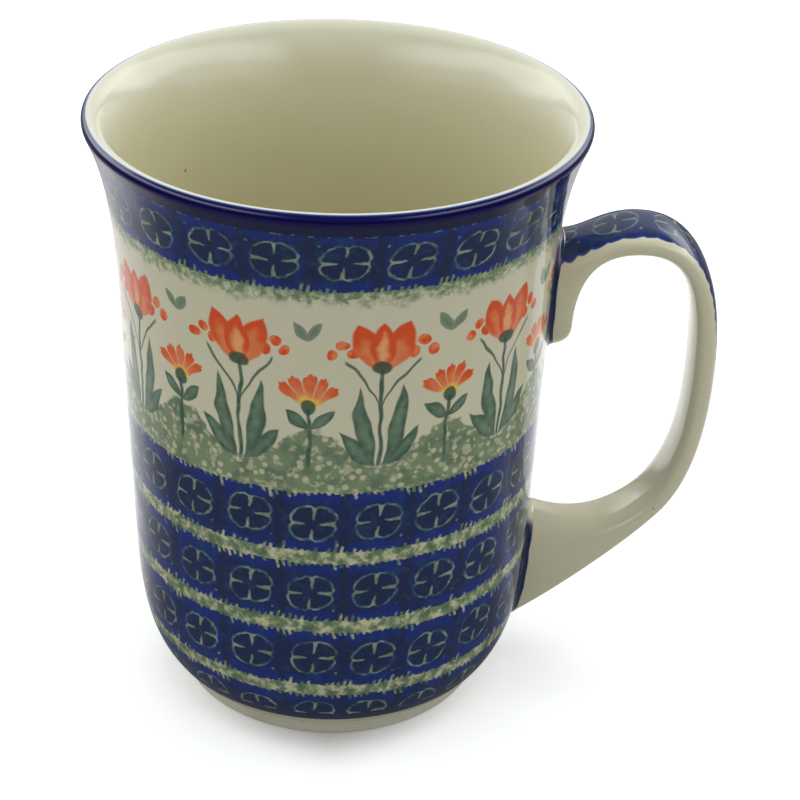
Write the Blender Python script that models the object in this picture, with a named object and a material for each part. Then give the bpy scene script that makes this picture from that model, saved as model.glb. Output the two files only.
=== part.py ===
"""Stoneware mug: a turned cup, a strap handle luted to its wall, and the glaze over both.

Units are metres. +Z is up, the mug stands on Z = 0 and the handle points along +X.
Everything is modelled round the cup's axis; the finished mug is then slid along X,
so that the origin lies under the middle of its overall length.
"""

import math

import bmesh
import bpy
import numpy
from mathutils import Vector

# Cup, sizes of the clay
CUP_HEIGHT = 0.1280
RIM_RADIUS = 0.04935
LIP_THICKNESS = 0.0025
LIP_CROWN = 0.0014
NECK_RADIUS = 0.0434
NECK_HEIGHT = 0.0900
BELLY_RADIUS = 0.0413
BELLY_HEIGHT = 0.0300
WALL_THICKNESS = 0.0042
FLOOR_THICKNESS = 0.0065
FLOOR_FLAT_RADIUS = 0.0160

# Foot ring, left bare of glaze
FOOT_RADIUS = 0.0323
FOOT_HEIGHT = 0.0036
FOOT_STEP = 0.0003
FOOT_CHAMFER = 0.0006
FOOT_RING_WIDTH = 0.0055
FOOT_RECESS = 0.0018

# Curve handles of the cup's outline, as shares of (rise in radius, rise in height) of their stretch
BELLY_LEAVES_FOOT = (0.560, 0.160)
BELLY_MEETS_WALL = (0.915, 0.375)
WALL_LEAVES_BELLY = (0.424, 0.330)
WALL_MEETS_NECK = (0.797, 0.730)
FLARE_LEAVES_NECK = (0.066, 0.410)
FLARE_MEETS_LIP = (0.330, 0.760)
INNER_FLARE_MEETS_LIP = (0.300, 0.800)
CORNER_LEAVES_WALL = (0.020, 0.600)
CORNER_MEETS_FLOOR = (0.500, 1.000)

# Handle, sizes of the clay; reaches are counted from the neck of the cup
HANDLE_TOP = 0.1052
HANDLE_REACH = 0.0350
CROWN_REACH = 0.0176
GRIP_HEIGHT = 0.0740
CROWN_THICKNESS = 0.0049
STRAP_THICKNESS = 0.0044
ARM_REACH = 0.0244
ARM_HEIGHT = 0.0403
ARM_SLOPE = math.radians(49.0)
ARM_LEAD = 0.0105

# Upper root with its tongue, and lower root
UPPER_ROOT_TOP = 0.1018
UPPER_ROOT_STANDOFF = 0.0020
TONGUE_END = 0.0786
TONGUE_THICKNESS = 0.0053
TONGUE_ROUND = 0.0046
LOWER_ROOT_TOP = 0.0393
LOWER_ROOT_BOTTOM = 0.0078
LOWER_ROOT_LIFT = 0.0055
LOWER_ROOT_LIFT_START = 0.65

# Width of the strap across the mug, from the upper root round to the lower one
UPPER_ROOT_WIDTH = 0.0160
CROWN_WIDTH = 0.0148
GRIP_WIDTH = 0.0138
ARM_WIDTH = 0.0128
LOWER_ROOT_WIDTH = 0.0144
SECTION_SQUARENESS = 2.5

# Curve handles of the strap's edges, as shares of (reach, height): root, rise to the crown, crown to grip
OUTER_SHARES = (((0.30, 0.30), (0.70, 0.70)), ((0.33, 0.10), (0.57, 1.00)), ((0.70, 0.00), (1.00, 0.36)))
INNER_SHARES = (((0.75, 0.00), (1.00, 0.25)), ((0.00, 0.59), (0.20, 1.00)), ((0.76, 0.00), (1.00, 0.30)))
GRIP_LEAVES = (0.00, 0.37)
LOWER_ROOT_MEETS = (0.66, 0.79)

# Coats, joints and the clearance between touching pieces
GLAZE_THICKNESS = 0.0003
SLIP_THICKNESS = 0.0006
SEAT_GAP = 0.0003
ROOT_BURY = 0.0025
BASE_GLAZE_MARGIN = 0.0010

# Fineness
TURN_STEPS = 40
BELLY_STEPS = 7
WALL_STEPS = 4
FLARE_STEPS = 6
CORNER_STEPS = 6
LIP_STEPS = 6
STRAP_STEPS = (4, 7, 8, 8, 9)
SECTION_POINTS = 16
STUB_RINGS = 7
MERGE_DISTANCE = 0.00001

CLAY = (0.74, 0.69, 0.58)
CLEAR_GLAZE = (0.80, 0.77, 0.66)
COBALT_GLAZE = (0.03, 0.04, 0.20)


def share(start, end, part):
    """The value that lies the given part of the way from start to end."""
    return start + (end - start) * part


def share_point(start, end, parts):
    """A point with its own part of the way for each of its two coordinates."""
    return (share(start[0], end[0], parts[0]), share(start[1], end[1], parts[1]))


def along(point, direction, distance):
    """The point that lies a distance from another along a direction."""
    return (point[0] + direction[0] * distance, point[1] + direction[1] * distance)


def bezier(p0, p1, p2, p3, steps):
    """Points of a cubic curve, both ends included."""
    points = []
    for step in range(steps + 1):
        t = step / steps
        weights = ((1 - t) ** 3, 3 * t * (1 - t) ** 2, 3 * t * t * (1 - t), t ** 3)
        points.append(tuple(
            sum(w * p[axis] for w, p in zip(weights, (p0, p1, p2, p3))) for axis in (0, 1)
        ))
    return points


def stretch(start, end, leaves, meets, steps):
    """A curved stretch of the cup's outline from its start to its end."""
    return bezier(start, share_point(start, end, leaves), share_point(start, end, meets), end, steps)


def offset_line(points, distance):
    """The line moved sideways to its left, which is off the clay on the cup's outline."""
    sides = []
    for (r0, z0), (r1, z1) in zip(points, points[1:]):
        length = math.hypot(r1 - r0, z1 - z0)
        sides.append(Vector((-(z1 - z0) / length, (r1 - r0) / length)))
    moved = []
    for index, (r, z) in enumerate(points):
        before = sides[max(index - 1, 0)]
        after = sides[min(index, len(sides) - 1)]
        side = (before + after) / (1.0 + before.dot(after))
        moved.append((r + side.x * distance, z + side.y * distance))
    return moved


def lip_height():
    """Height at which the wall ends and the rounded lip begins."""
    return CUP_HEIGHT - LIP_CROWN


def outside_line():
    """Outside of the clay wall, from the lip down to the top of the bare foot."""
    foot = (FOOT_RADIUS + FOOT_STEP, FOOT_HEIGHT)
    belly = (BELLY_RADIUS, BELLY_HEIGHT)
    neck = (NECK_RADIUS, NECK_HEIGHT)
    lip = (RIM_RADIUS, lip_height())
    line = stretch(foot, belly, BELLY_LEAVES_FOOT, BELLY_MEETS_WALL, BELLY_STEPS)
    line += stretch(belly, neck, WALL_LEAVES_BELLY, WALL_MEETS_NECK, WALL_STEPS)[1:]
    line += stretch(neck, lip, FLARE_LEAVES_NECK, FLARE_MEETS_LIP, FLARE_STEPS)[1:]
    return line[::-1]


def inside_line():
    """Inside of the clay, from the middle of the floor up to the lip."""
    floor_height = FOOT_RECESS + FLOOR_THICKNESS
    flat = (FLOOR_FLAT_RADIUS, floor_height)
    belly = (BELLY_RADIUS - WALL_THICKNESS, BELLY_HEIGHT)
    neck = (NECK_RADIUS - WALL_THICKNESS, NECK_HEIGHT)
    lip = (RIM_RADIUS - LIP_THICKNESS, lip_height())
    corner = stretch(belly, flat, CORNER_LEAVES_WALL, CORNER_MEETS_FLOOR, CORNER_STEPS)
    line = [(0.0, floor_height)] + corner[::-1]
    line += stretch(belly, neck, WALL_LEAVES_BELLY, WALL_MEETS_NECK, WALL_STEPS)[1:]
    line += stretch(neck, lip, FLARE_LEAVES_NECK, INNER_FLARE_MEETS_LIP, FLARE_STEPS)[1:]
    return line


def flare_lean(neck_radius, lip_radius, meets):
    """How far one side of the flared wall leans outwards where it meets the lip, for a unit of height."""
    across = (lip_radius - neck_radius) * (1 - meets[0])
    upward = (lip_height() - NECK_HEIGHT) * (1 - meets[1])
    return across / upward


def lip_line():
    """Rounded top of the lip, from inside to outside, without its two ends; it leans on as the flare does."""
    middle = RIM_RADIUS - LIP_THICKNESS / 2
    inner_lean = flare_lean(NECK_RADIUS - WALL_THICKNESS, RIM_RADIUS - LIP_THICKNESS, INNER_FLARE_MEETS_LIP)
    outer_lean = flare_lean(NECK_RADIUS, RIM_RADIUS, FLARE_MEETS_LIP)
    line = []
    for step in range(1, LIP_STEPS):
        way = step / LIP_STEPS
        angle = math.pi * (1 - way)
        rise = LIP_CROWN * math.sin(angle)
        lean = share(inner_lean, outer_lean, way)
        line.append((middle + LIP_THICKNESS / 2 * math.cos(angle) + lean * rise, lip_height() + rise))
    return line


def glazed_line():
    """The clay under the glaze: inside, over the lip and down to the foot."""
    return inside_line() + lip_line() + outside_line()


def foot_line():
    """The bare foot ring and the recess under the cup, ending on the axis."""
    inner = FOOT_RADIUS - FOOT_RING_WIDTH
    return [
        (FOOT_RADIUS, FOOT_CHAMFER),
        (FOOT_RADIUS - FOOT_CHAMFER, 0.0),
        (inner + FOOT_CHAMFER, 0.0),
        (inner, FOOT_CHAMFER),
        (inner, FOOT_RECESS),
        (0.0, FOOT_RECESS),
    ]


def wall_radius(height):
    """Radius of the clay's outside at a height."""
    line = outside_line()[::-1]
    return float(numpy.interp(height, [z for _, z in line], [r for r, _ in line]))


def root_point(height):
    """Where an edge of the handle ends, a little way into the wall."""
    return (wall_radius(height) - ROOT_BURY, height)


def strap_edge(knots, shares, last_handle, heading):
    """One edge of the strap, run by run through its knots from the upper root to the lower one."""
    before_arm = along(knots[4], heading, -ARM_LEAD)
    after_arm = along(knots[4], heading, ARM_LEAD)
    handles = [[share_point(start, end, part) for part in pair]
               for start, end, pair in zip(knots, knots[1:], shares)]
    handles.append([share_point(knots[3], knots[4], GRIP_LEAVES), before_arm])
    handles.append([after_arm, last_handle])
    runs = zip(knots, handles, knots[1:], STRAP_STEPS)
    return [bezier(start, *pair, end, steps) for start, pair, end, steps in runs]


def strap_stations():
    """Inner point, outer point and half width of each section of the strap, from the upper root."""
    crown_out = NECK_RADIUS + CROWN_REACH
    reach = NECK_RADIUS + HANDLE_REACH
    arm = (NECK_RADIUS + ARM_REACH, ARM_HEIGHT)
    heading = (-math.cos(ARM_SLOPE), -math.sin(ARM_SLOPE))
    square = (math.sin(ARM_SLOPE), -math.cos(ARM_SLOPE))
    outer_knots = [
        root_point(UPPER_ROOT_TOP),
        (wall_radius(UPPER_ROOT_TOP) + UPPER_ROOT_STANDOFF, UPPER_ROOT_TOP),
        (crown_out, HANDLE_TOP),
        (reach, GRIP_HEIGHT),
        along(arm, square, STRAP_THICKNESS / 2),
        root_point(LOWER_ROOT_BOTTOM),
    ]
    inner_knots = [
        root_point(TONGUE_END),
        (wall_radius(TONGUE_END) + TONGUE_THICKNESS, TONGUE_END + TONGUE_ROUND),
        (crown_out, HANDLE_TOP - CROWN_THICKNESS),
        (reach - STRAP_THICKNESS, GRIP_HEIGHT),
        along(arm, square, -STRAP_THICKNESS / 2),
        root_point(LOWER_ROOT_TOP),
    ]
    outer_last = share_point(outer_knots[4], outer_knots[5], LOWER_ROOT_MEETS)
    lift_start = share(inner_knots[4][0], inner_knots[5][0], LOWER_ROOT_LIFT_START)
    inner_last = (lift_start, LOWER_ROOT_TOP - LOWER_ROOT_LIFT)
    outer_runs = strap_edge(outer_knots, OUTER_SHARES, outer_last, heading)
    inner_runs = strap_edge(inner_knots, INNER_SHARES, inner_last, heading)
    widths = [UPPER_ROOT_WIDTH, UPPER_ROOT_WIDTH, CROWN_WIDTH, GRIP_WIDTH, ARM_WIDTH, LOWER_ROOT_WIDTH]

    stations = []
    for run, steps in enumerate(STRAP_STEPS):
        for step in range(1 if run else 0, steps + 1):
            half_width = share(widths[run], widths[run + 1], step / steps) / 2
            stations.append((inner_runs[run][step], outer_runs[run][step], half_width))
    return stations


def section(inner, outer, half_width):
    """One rounded section of the strap, as a ring of points."""
    middle = ((inner[0] + outer[0]) / 2, (inner[1] + outer[1]) / 2)
    half = ((outer[0] - inner[0]) / 2, (outer[1] - inner[1]) / 2)
    power = 2.0 / SECTION_SQUARENESS
    ring = []
    for number in range(SECTION_POINTS):
        angle = 2 * math.pi * number / SECTION_POINTS
        out = math.copysign(abs(math.cos(angle)) ** power, math.cos(angle))
        across = math.copysign(abs(math.sin(angle)) ** power, math.sin(angle))
        ring.append((middle[0] + half[0] * out, half_width * across, middle[1] + half[1] * out))
    return ring


def material(name, colour, roughness):
    """A plain finish with its own colour and roughness."""
    finish = bpy.data.materials.new(name)
    finish.use_nodes = True
    shader = finish.node_tree.nodes["Principled BSDF"]
    shader.inputs["Base Color"].default_value = (*colour, 1.0)
    shader.inputs["Roughness"].default_value = roughness
    shader.inputs["Metallic"].default_value = 0.0
    return finish


def place(mesh, name, parent, finish=None):
    """Put a mesh into the scene as a named object on the cup's axis."""
    thing = bpy.data.objects.new(name, mesh)
    bpy.context.scene.collection.objects.link(thing)
    thing.parent = parent
    if finish:
        mesh.materials.append(finish)
    return thing


def make_cutter(thing):
    """Mark an object as a cutter, which is no piece of the mug."""
    thing.hide_render = True
    thing.display_type = "WIRE"
    return thing


def turn(name, line, parent, finish=None):
    """Turn an outline round the Z axis, with the middle of a facet towards the handle."""
    mesh = bpy.data.meshes.new(name)
    edges = [(index, index + 1) for index in range(len(line) - 1)]
    half_step = math.pi / TURN_STEPS
    corners = [(r * math.cos(half_step), r * math.sin(half_step), z) for r, z in line]
    mesh.from_pydata(corners, edges, [])
    thing = place(mesh, name, parent, finish)
    screw = thing.modifiers.new("turn", "SCREW")
    screw.steps = TURN_STEPS
    screw.render_steps = TURN_STEPS
    screw.use_merge_vertices = True
    screw.merge_threshold = MERGE_DISTANCE
    screw.use_smooth_shade = True
    return thing


def loft(name, stations, parent, finish=None, capped=True):
    """Skin a run of strap sections, with flat ends where capped."""
    shape = bmesh.new()
    rings = [[shape.verts.new(point) for point in section(*station)] for station in stations]
    for first, second in zip(rings, rings[1:]):
        for number in range(SECTION_POINTS):
            following = (number + 1) % SECTION_POINTS
            shape.faces.new((first[number], first[following], second[following], second[number]))
    if capped:
        shape.faces.new(rings[0][::-1])
        shape.faces.new(rings[-1])
    bmesh.ops.recalc_face_normals(shape, faces=shape.faces)
    mesh = bpy.data.meshes.new(name)
    shape.to_mesh(mesh)
    shape.free()
    mesh.shade_smooth()
    return place(mesh, name, parent, finish)


def boolean(thing, operation, other):
    """Cut one object with another."""
    cut = thing.modifiers.new(operation.lower(), "BOOLEAN")
    cut.operation = operation
    cut.solver = "EXACT"
    cut.object = other


def swell(thing, distance):
    """Grow an object evenly by a distance."""
    grow = thing.modifiers.new("swell", "DISPLACE")
    grow.direction = "NORMAL"
    grow.mid_level = 0.0
    grow.strength = distance


def wall_plug(name, distance, parent):
    """A cutter as wide as the cup's outside plus a distance."""
    line = offset_line(outside_line(), distance)
    top = (0.0, line[0][1])
    bottom = (0.0, line[-1][1])
    return make_cutter(turn(name, [top] + line + [bottom], parent))


def build_cup(parent):
    """The turned cup with its foot ring."""
    return turn("cup_body", glazed_line() + foot_line(), parent, material("bare_clay", CLAY, 0.75))


def build_handle(stations, wall_cutter, parent):
    """The clay strap, its roots shaped to the wall."""
    handle = loft("handle", stations, parent, material("handle_clay", CLAY, 0.75))
    boolean(handle, "DIFFERENCE", wall_cutter)
    return handle


def build_slip_joint(name, stations, skin_cutter, wall_cutter, parent):
    """The layer of slip between the wall and one root of the handle."""
    joint = loft(name, stations, parent, material(name + "_clay", CLAY, 0.80))
    boolean(joint, "INTERSECT", skin_cutter)
    boolean(joint, "DIFFERENCE", wall_cutter)
    return joint


def build_cup_glaze(roots, parent):
    """The glaze over the cup, with a hole where each root stands on the clay."""
    clay = glazed_line()
    skin = offset_line(clay, SEAT_GAP + GLAZE_THICKNESS) + offset_line(clay, SEAT_GAP)[::-1]
    glaze = turn("cup_glaze", skin, parent, material("painted_glaze", COBALT_GLAZE, 0.12))
    for number, root in enumerate(roots):
        hole = make_cutter(loft("root_hole_%d" % number, root, parent))
        swell(hole, SEAT_GAP)
        boolean(glaze, "DIFFERENCE", hole)
    return glaze


def build_handle_glaze(stations, wall_cutter, parent):
    """The glaze round the handle, from wall to wall."""
    sleeve = loft("handle_glaze", stations, parent, material("clear_glaze", CLEAR_GLAZE, 0.12), capped=False)
    swell(sleeve, SEAT_GAP)
    wall = sleeve.modifiers.new("coat", "SOLIDIFY")
    wall.thickness = GLAZE_THICKNESS
    wall.offset = 1.0
    wall.use_even_offset = True
    boolean(sleeve, "DIFFERENCE", wall_cutter)
    return sleeve


def build_base_glaze(parent):
    """The glazed disc in the recess under the cup."""
    radius = FOOT_RADIUS - FOOT_RING_WIDTH - BASE_GLAZE_MARGIN
    top = FOOT_RECESS - SEAT_GAP
    bottom = top - GLAZE_THICKNESS
    line = [(0.0, top), (radius, top), (radius, bottom), (0.0, bottom)]
    return turn("base_glaze", line, parent, material("base_clear_glaze", CLEAR_GLAZE, 0.12))


def centre_lengthwise(parent, pieces):
    """Slide the mug along X until its overall length is centred on the origin."""
    bpy.context.view_layer.update()
    graph = bpy.context.evaluated_depsgraph_get()
    reaches = [corner[0] for piece in pieces for corner in piece.evaluated_get(graph).bound_box]
    parent.location.x = -(min(reaches) + max(reaches)) / 2


def main():
    for thing in list(bpy.data.objects):
        bpy.data.objects.remove(thing, do_unlink=True)
    axis = bpy.data.objects.new("cup_axis", None)
    bpy.context.scene.collection.objects.link(axis)

    stations = strap_stations()
    upper_root = stations[:STUB_RINGS]
    lower_root = stations[-STUB_RINGS:]
    slip_inside = wall_plug("slip_inside", SEAT_GAP, axis)
    slip_outside = wall_plug("slip_outside", SEAT_GAP + SLIP_THICKNESS, axis)
    root_seat = wall_plug("root_seat", SEAT_GAP + SLIP_THICKNESS + SEAT_GAP, axis)
    glaze_seat = wall_plug("glaze_seat", SEAT_GAP + GLAZE_THICKNESS + SEAT_GAP, axis)

    pieces = [
        build_cup(axis),
        build_handle(stations, root_seat, axis),
        build_slip_joint("upper_slip_joint", upper_root, slip_outside, slip_inside, axis),
        build_slip_joint("lower_slip_joint", lower_root, slip_outside, slip_inside, axis),
        build_cup_glaze((upper_root, lower_root), axis),
        build_handle_glaze(stations, glaze_seat, axis),
        build_base_glaze(axis),
    ]
    centre_lengthwise(axis, pieces)


main()
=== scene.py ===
"""Looks of a stoneware mug: a painted and glazed cup, its strap handle and bare foot, in a pale studio.

Lengths of the forms are in metres and share the frame's axes. Lengths of the painting are in
millimetres on the surface: turns round the cup from its back, and the run down from the lip.
"""

import logging
import math
from dataclasses import dataclass
from enum import Enum
from typing import Sequence, Union

import bmesh
import bpy
import numpy as np
from mathutils import Matrix, Vector


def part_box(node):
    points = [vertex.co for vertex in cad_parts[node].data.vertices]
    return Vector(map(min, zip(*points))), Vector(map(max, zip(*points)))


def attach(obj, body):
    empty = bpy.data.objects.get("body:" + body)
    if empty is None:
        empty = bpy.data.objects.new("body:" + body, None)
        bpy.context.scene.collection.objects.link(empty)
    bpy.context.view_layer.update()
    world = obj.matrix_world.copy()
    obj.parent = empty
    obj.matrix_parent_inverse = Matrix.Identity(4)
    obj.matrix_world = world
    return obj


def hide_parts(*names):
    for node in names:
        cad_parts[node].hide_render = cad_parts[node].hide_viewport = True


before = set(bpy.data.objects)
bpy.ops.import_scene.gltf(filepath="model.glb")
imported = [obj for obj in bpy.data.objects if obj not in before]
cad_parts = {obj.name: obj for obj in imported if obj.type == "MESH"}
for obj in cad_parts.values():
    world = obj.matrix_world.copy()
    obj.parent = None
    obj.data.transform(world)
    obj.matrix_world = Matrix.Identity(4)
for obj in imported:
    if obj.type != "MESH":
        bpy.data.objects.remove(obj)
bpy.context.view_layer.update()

BODY = "root"
MM = 0.001
MERGE = 0.000002
FULL_TURN = 2.0 * math.pi

Point = tuple[float, float]
Line = list[Point]
Colour = tuple[float, float, float]
Shares = tuple[tuple[Point, Point], ...]
Value = Union["Wire", float]

log = logging.getLogger("mug")


class Ray(Enum):
    """Kinds of rays, which see the studio's floor and surroundings each in their own way."""

    CAMERA = "Is Camera Ray"
    GLOSSY = "Is Glossy Ray"
    TRANSMISSION = "Is Transmission Ray"


class Root(Enum):
    """The two places where the handle meets the cup, as runs of the strap that hold the seam."""

    UPPER = (0.0, 1.6)
    LOWER = (4.0, 5.0)


class Wire:
    """A value running between nodes, with arithmetic that adds Math nodes."""

    def __init__(self, bench: "Bench", socket: bpy.types.NodeSocket) -> None:
        """Hold an output socket of the bench's tree."""
        self.bench = bench
        self.socket = socket

    def __add__(self, other: Value) -> "Wire":
        """This plus the other value."""
        return self.bench.math("ADD", self, other)

    def __radd__(self, other: Value) -> "Wire":
        """The other value plus this."""
        return self.bench.math("ADD", other, self)

    def __sub__(self, other: Value) -> "Wire":
        """This minus the other value."""
        return self.bench.math("SUBTRACT", self, other)

    def __rsub__(self, other: Value) -> "Wire":
        """The other value minus this."""
        return self.bench.math("SUBTRACT", other, self)

    def __mul__(self, other: Value) -> "Wire":
        """This times the other value."""
        return self.bench.math("MULTIPLY", self, other)

    def __rmul__(self, other: Value) -> "Wire":
        """The other value times this."""
        return self.bench.math("MULTIPLY", other, self)

    def __truediv__(self, other: Value) -> "Wire":
        """This divided by the other value."""
        return self.bench.math("DIVIDE", self, other)

    def __abs__(self) -> "Wire":
        """This without its sign."""
        return self.bench.math("ABSOLUTE", self)

    def power(self, exponent: float) -> "Wire":
        """This raised to an exponent."""
        return self.bench.math("POWER", self, exponent)

    def call(self, operation: str) -> "Wire":
        """A Math node of one input, such as FLOOR, FRACT, SIGN, SINE or COSINE."""
        return self.bench.math(operation, self)

    def least(self, other: Value) -> "Wire":
        """The smaller of the two values."""
        return self.bench.math("MINIMUM", self, other)

    def most(self, other: Value) -> "Wire":
        """The larger of the two values."""
        return self.bench.math("MAXIMUM", self, other)

    def fade(self, low: float, high: float) -> "Wire":
        """A smooth step between two values.

        Args:
            low: Value at which the step is 0; it may be the larger one.
            high: Value at which the step is 1.

        Returns:
            The step, from 0 to 1.
        """
        node = self.bench.node("ShaderNodeMapRange", interpolation_type="SMOOTHSTEP")
        self.bench.feed(node, {"Value": self, "From Min": low, "From Max": high})
        return Wire(self.bench, node.outputs["Result"])

    def split(self) -> tuple["Wire", "Wire", "Wire"]:
        """The three parts of a vector or colour.

        Returns:
            One wire for each part, in order.
        """
        node = self.bench.node("ShaderNodeSeparateXYZ")
        self.bench.feed(node, {0: self})
        return tuple(Wire(self.bench, out) for out in node.outputs)


class Bench:
    """A node tree with short ways to add and join its nodes."""

    def __init__(self, tree: bpy.types.NodeTree) -> None:
        """Work on the given tree."""
        self.tree = tree

    def node(self, kind: str, **settings: object) -> bpy.types.Node:
        """Add a node of a kind, with its settings.

        Args:
            kind: Blender's name for the type of node.
            **settings: Properties of the node.

        Returns:
            The new node.
        """
        node = self.tree.nodes.new(kind)
        for name, value in settings.items():
            setattr(node, name, value)
        return node

    def feed(self, node: bpy.types.Node, inputs: dict) -> None:
        """Join wires to a node's inputs, and set the inputs that are plain values.

        Args:
            node: Node to feed.
            inputs: Wires or plain values, by the input's name or number.
        """
        for key, value in inputs.items():
            if isinstance(value, Wire):
                self.tree.links.new(value.socket, node.inputs[key])
            else:
                node.inputs[key].default_value = value

    def chain(self, kind: str, inputs: dict, output: Union[int, str] = 0, **settings: object) -> Wire:
        """Add a node, feed it and return one of its outputs.

        Args:
            kind: Blender's name for the type of node.
            inputs: Wires or plain values for its inputs.
            output: Name or number of the output to return.
            **settings: Properties of the node.

        Returns:
            That output.
        """
        node = self.node(kind, **settings)
        self.feed(node, inputs)
        return Wire(self, node.outputs[output])

    def math(self, operation: str, *values: Value) -> Wire:
        """Add a Math node on one or two values."""
        return self.chain("ShaderNodeMath", dict(enumerate(values)), operation=operation)

    def vector(self, x: Value, y: Value, z: Value) -> Wire:
        """Put three values together as a vector."""
        return self.chain("ShaderNodeCombineXYZ", {0: x, 1: y, 2: z})

    def length(self, x: Value, y: Value) -> Wire:
        """Distance of a flat point from the origin."""
        return self.chain("ShaderNodeVectorMath", {0: self.vector(x, y, 0.0)}, "Value", operation="LENGTH")

    def noise(self, place: Wire, scale: float, detail: float = 2.0, colour: bool = False) -> Wire:
        """Soft random values by place, near 0.5 on average, as one number or as a colour of three."""
        inputs = {"Vector": place, "Scale": scale, "Detail": detail}
        return self.chain("ShaderNodeTexNoise", inputs, "Color" if colour else 0)

    def cells(self, place: Wire, scale: float, randomness: float = 1.0) -> tuple[Wire, Wire]:
        """Cells round scattered points.

        Args:
            place: The vector that the cells are read at.
            scale: Cells for each unit of length of that vector.
            randomness: How far the points stray from a grid, from 0 to 1.

        Returns:
            The distance from the cell's point, and the cell's own random colour.
        """
        node = self.node("ShaderNodeTexVoronoi")
        self.feed(node, {"Vector": place, "Scale": scale, "Randomness": randomness})
        return Wire(self, node.outputs["Distance"]), Wire(self, node.outputs["Color"])

    def chance(self, key: Wire) -> Wire:
        """Three random values from 0 to 1 that belong to a whole number."""
        return self.chain("ShaderNodeTexWhiteNoise", {"W": key}, "Color", noise_dimensions="1D")

    def blend(self, share: Value, under: object, over: object) -> Wire:
        """Lay one colour over another.

        Args:
            share: How much of the upper colour shows, from 0 to 1.
            under: Lower colour, or a wire with it.
            over: Upper colour, or a wire with it.

        Returns:
            The mixed colour.
        """
        node = self.node("ShaderNodeMix", data_type="RGBA", clamp_factor=True)
        sockets = {"Factor_Float": share, "A_Color": under, "B_Color": over}
        for identifier, value in sockets.items():
            socket = next(s for s in node.inputs if s.identifier == identifier)
            if isinstance(value, Wire):
                self.tree.links.new(value.socket, socket)
            elif identifier == "Factor_Float":
                socket.default_value = value
            else:
                socket.default_value = (*value, 1.0)
        return Wire(self, next(s for s in node.outputs if s.identifier == "Result_Color"))


def turned(x: Value, y: Value, angle: float) -> tuple[Value, Value]:
    """A flat point turned clockwise by an angle in radians."""
    cos, sin = math.cos(angle), math.sin(angle)
    return x * cos - y * sin, x * sin + y * cos


def lens(x: Wire, y: Wire, half_length: float, half_width: float) -> Wire:
    """A pointed leaf shape along y, as a number that is 0 on its midline and 1 at its edge."""
    rise = y / half_length
    return abs(x) / half_width + rise * rise


def brushed(stroke: Wire) -> tuple[Wire, Wire]:
    """The mask of a brush stroke and of the paler paint along its midline."""
    return stroke.fade(1.12, 0.88), stroke.fade(0.85, 0.10)


def share_point(start: Point, end: Point, parts: Point) -> Point:
    """A point with its own part of the way for each of its two coordinates."""
    return (start[0] + (end[0] - start[0]) * parts[0], start[1] + (end[1] - start[1]) * parts[1])


def bezier_point(corners: Sequence[Point], t: float) -> Point:
    """The point of a cubic curve at t from 0 to 1."""
    weights = ((1 - t) ** 3, 3 * t * (1 - t) ** 2, 3 * t * t * (1 - t), t ** 3)
    return tuple(sum(w * p[axis] for w, p in zip(weights, corners)) for axis in (0, 1))


def curve(start: Point, end: Point, leaves: Point, meets: Point, steps: int) -> Line:
    """A curved stretch from start to end, both included, with its handles as shares of the way."""
    corners = (start, share_point(start, end, leaves), share_point(start, end, meets), end)
    return [bezier_point(corners, step / steps) for step in range(steps + 1)]


def offset_line(points: Line, distance: float) -> Line:
    """The line moved sideways to its left, which is off the clay on the cup's outline.

    Args:
        points: Line as (radius, height).
        distance: How far it moves, in metres.

    Returns:
        The moved line, with as many points.
    """
    flat = np.array(points)
    steps = np.diff(flat, axis=0)
    sides = np.stack((-steps[:, 1], steps[:, 0]), 1) / np.linalg.norm(steps, axis=1)[:, None]
    before = np.vstack((sides[:1], sides))
    after = np.vstack((sides, sides[-1:]))
    spread = 1.0 + (before * after).sum(1)
    moved = flat + (before + after) / spread[:, None] * distance
    return [tuple(point) for point in moved.tolist()]


def runs_of(points: Line) -> list[float]:
    """Distance of each point along a line from its first one."""
    steps = np.linalg.norm(np.diff(np.array(points), axis=0), axis=1)
    return [0.0] + np.cumsum(steps).tolist()


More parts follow.
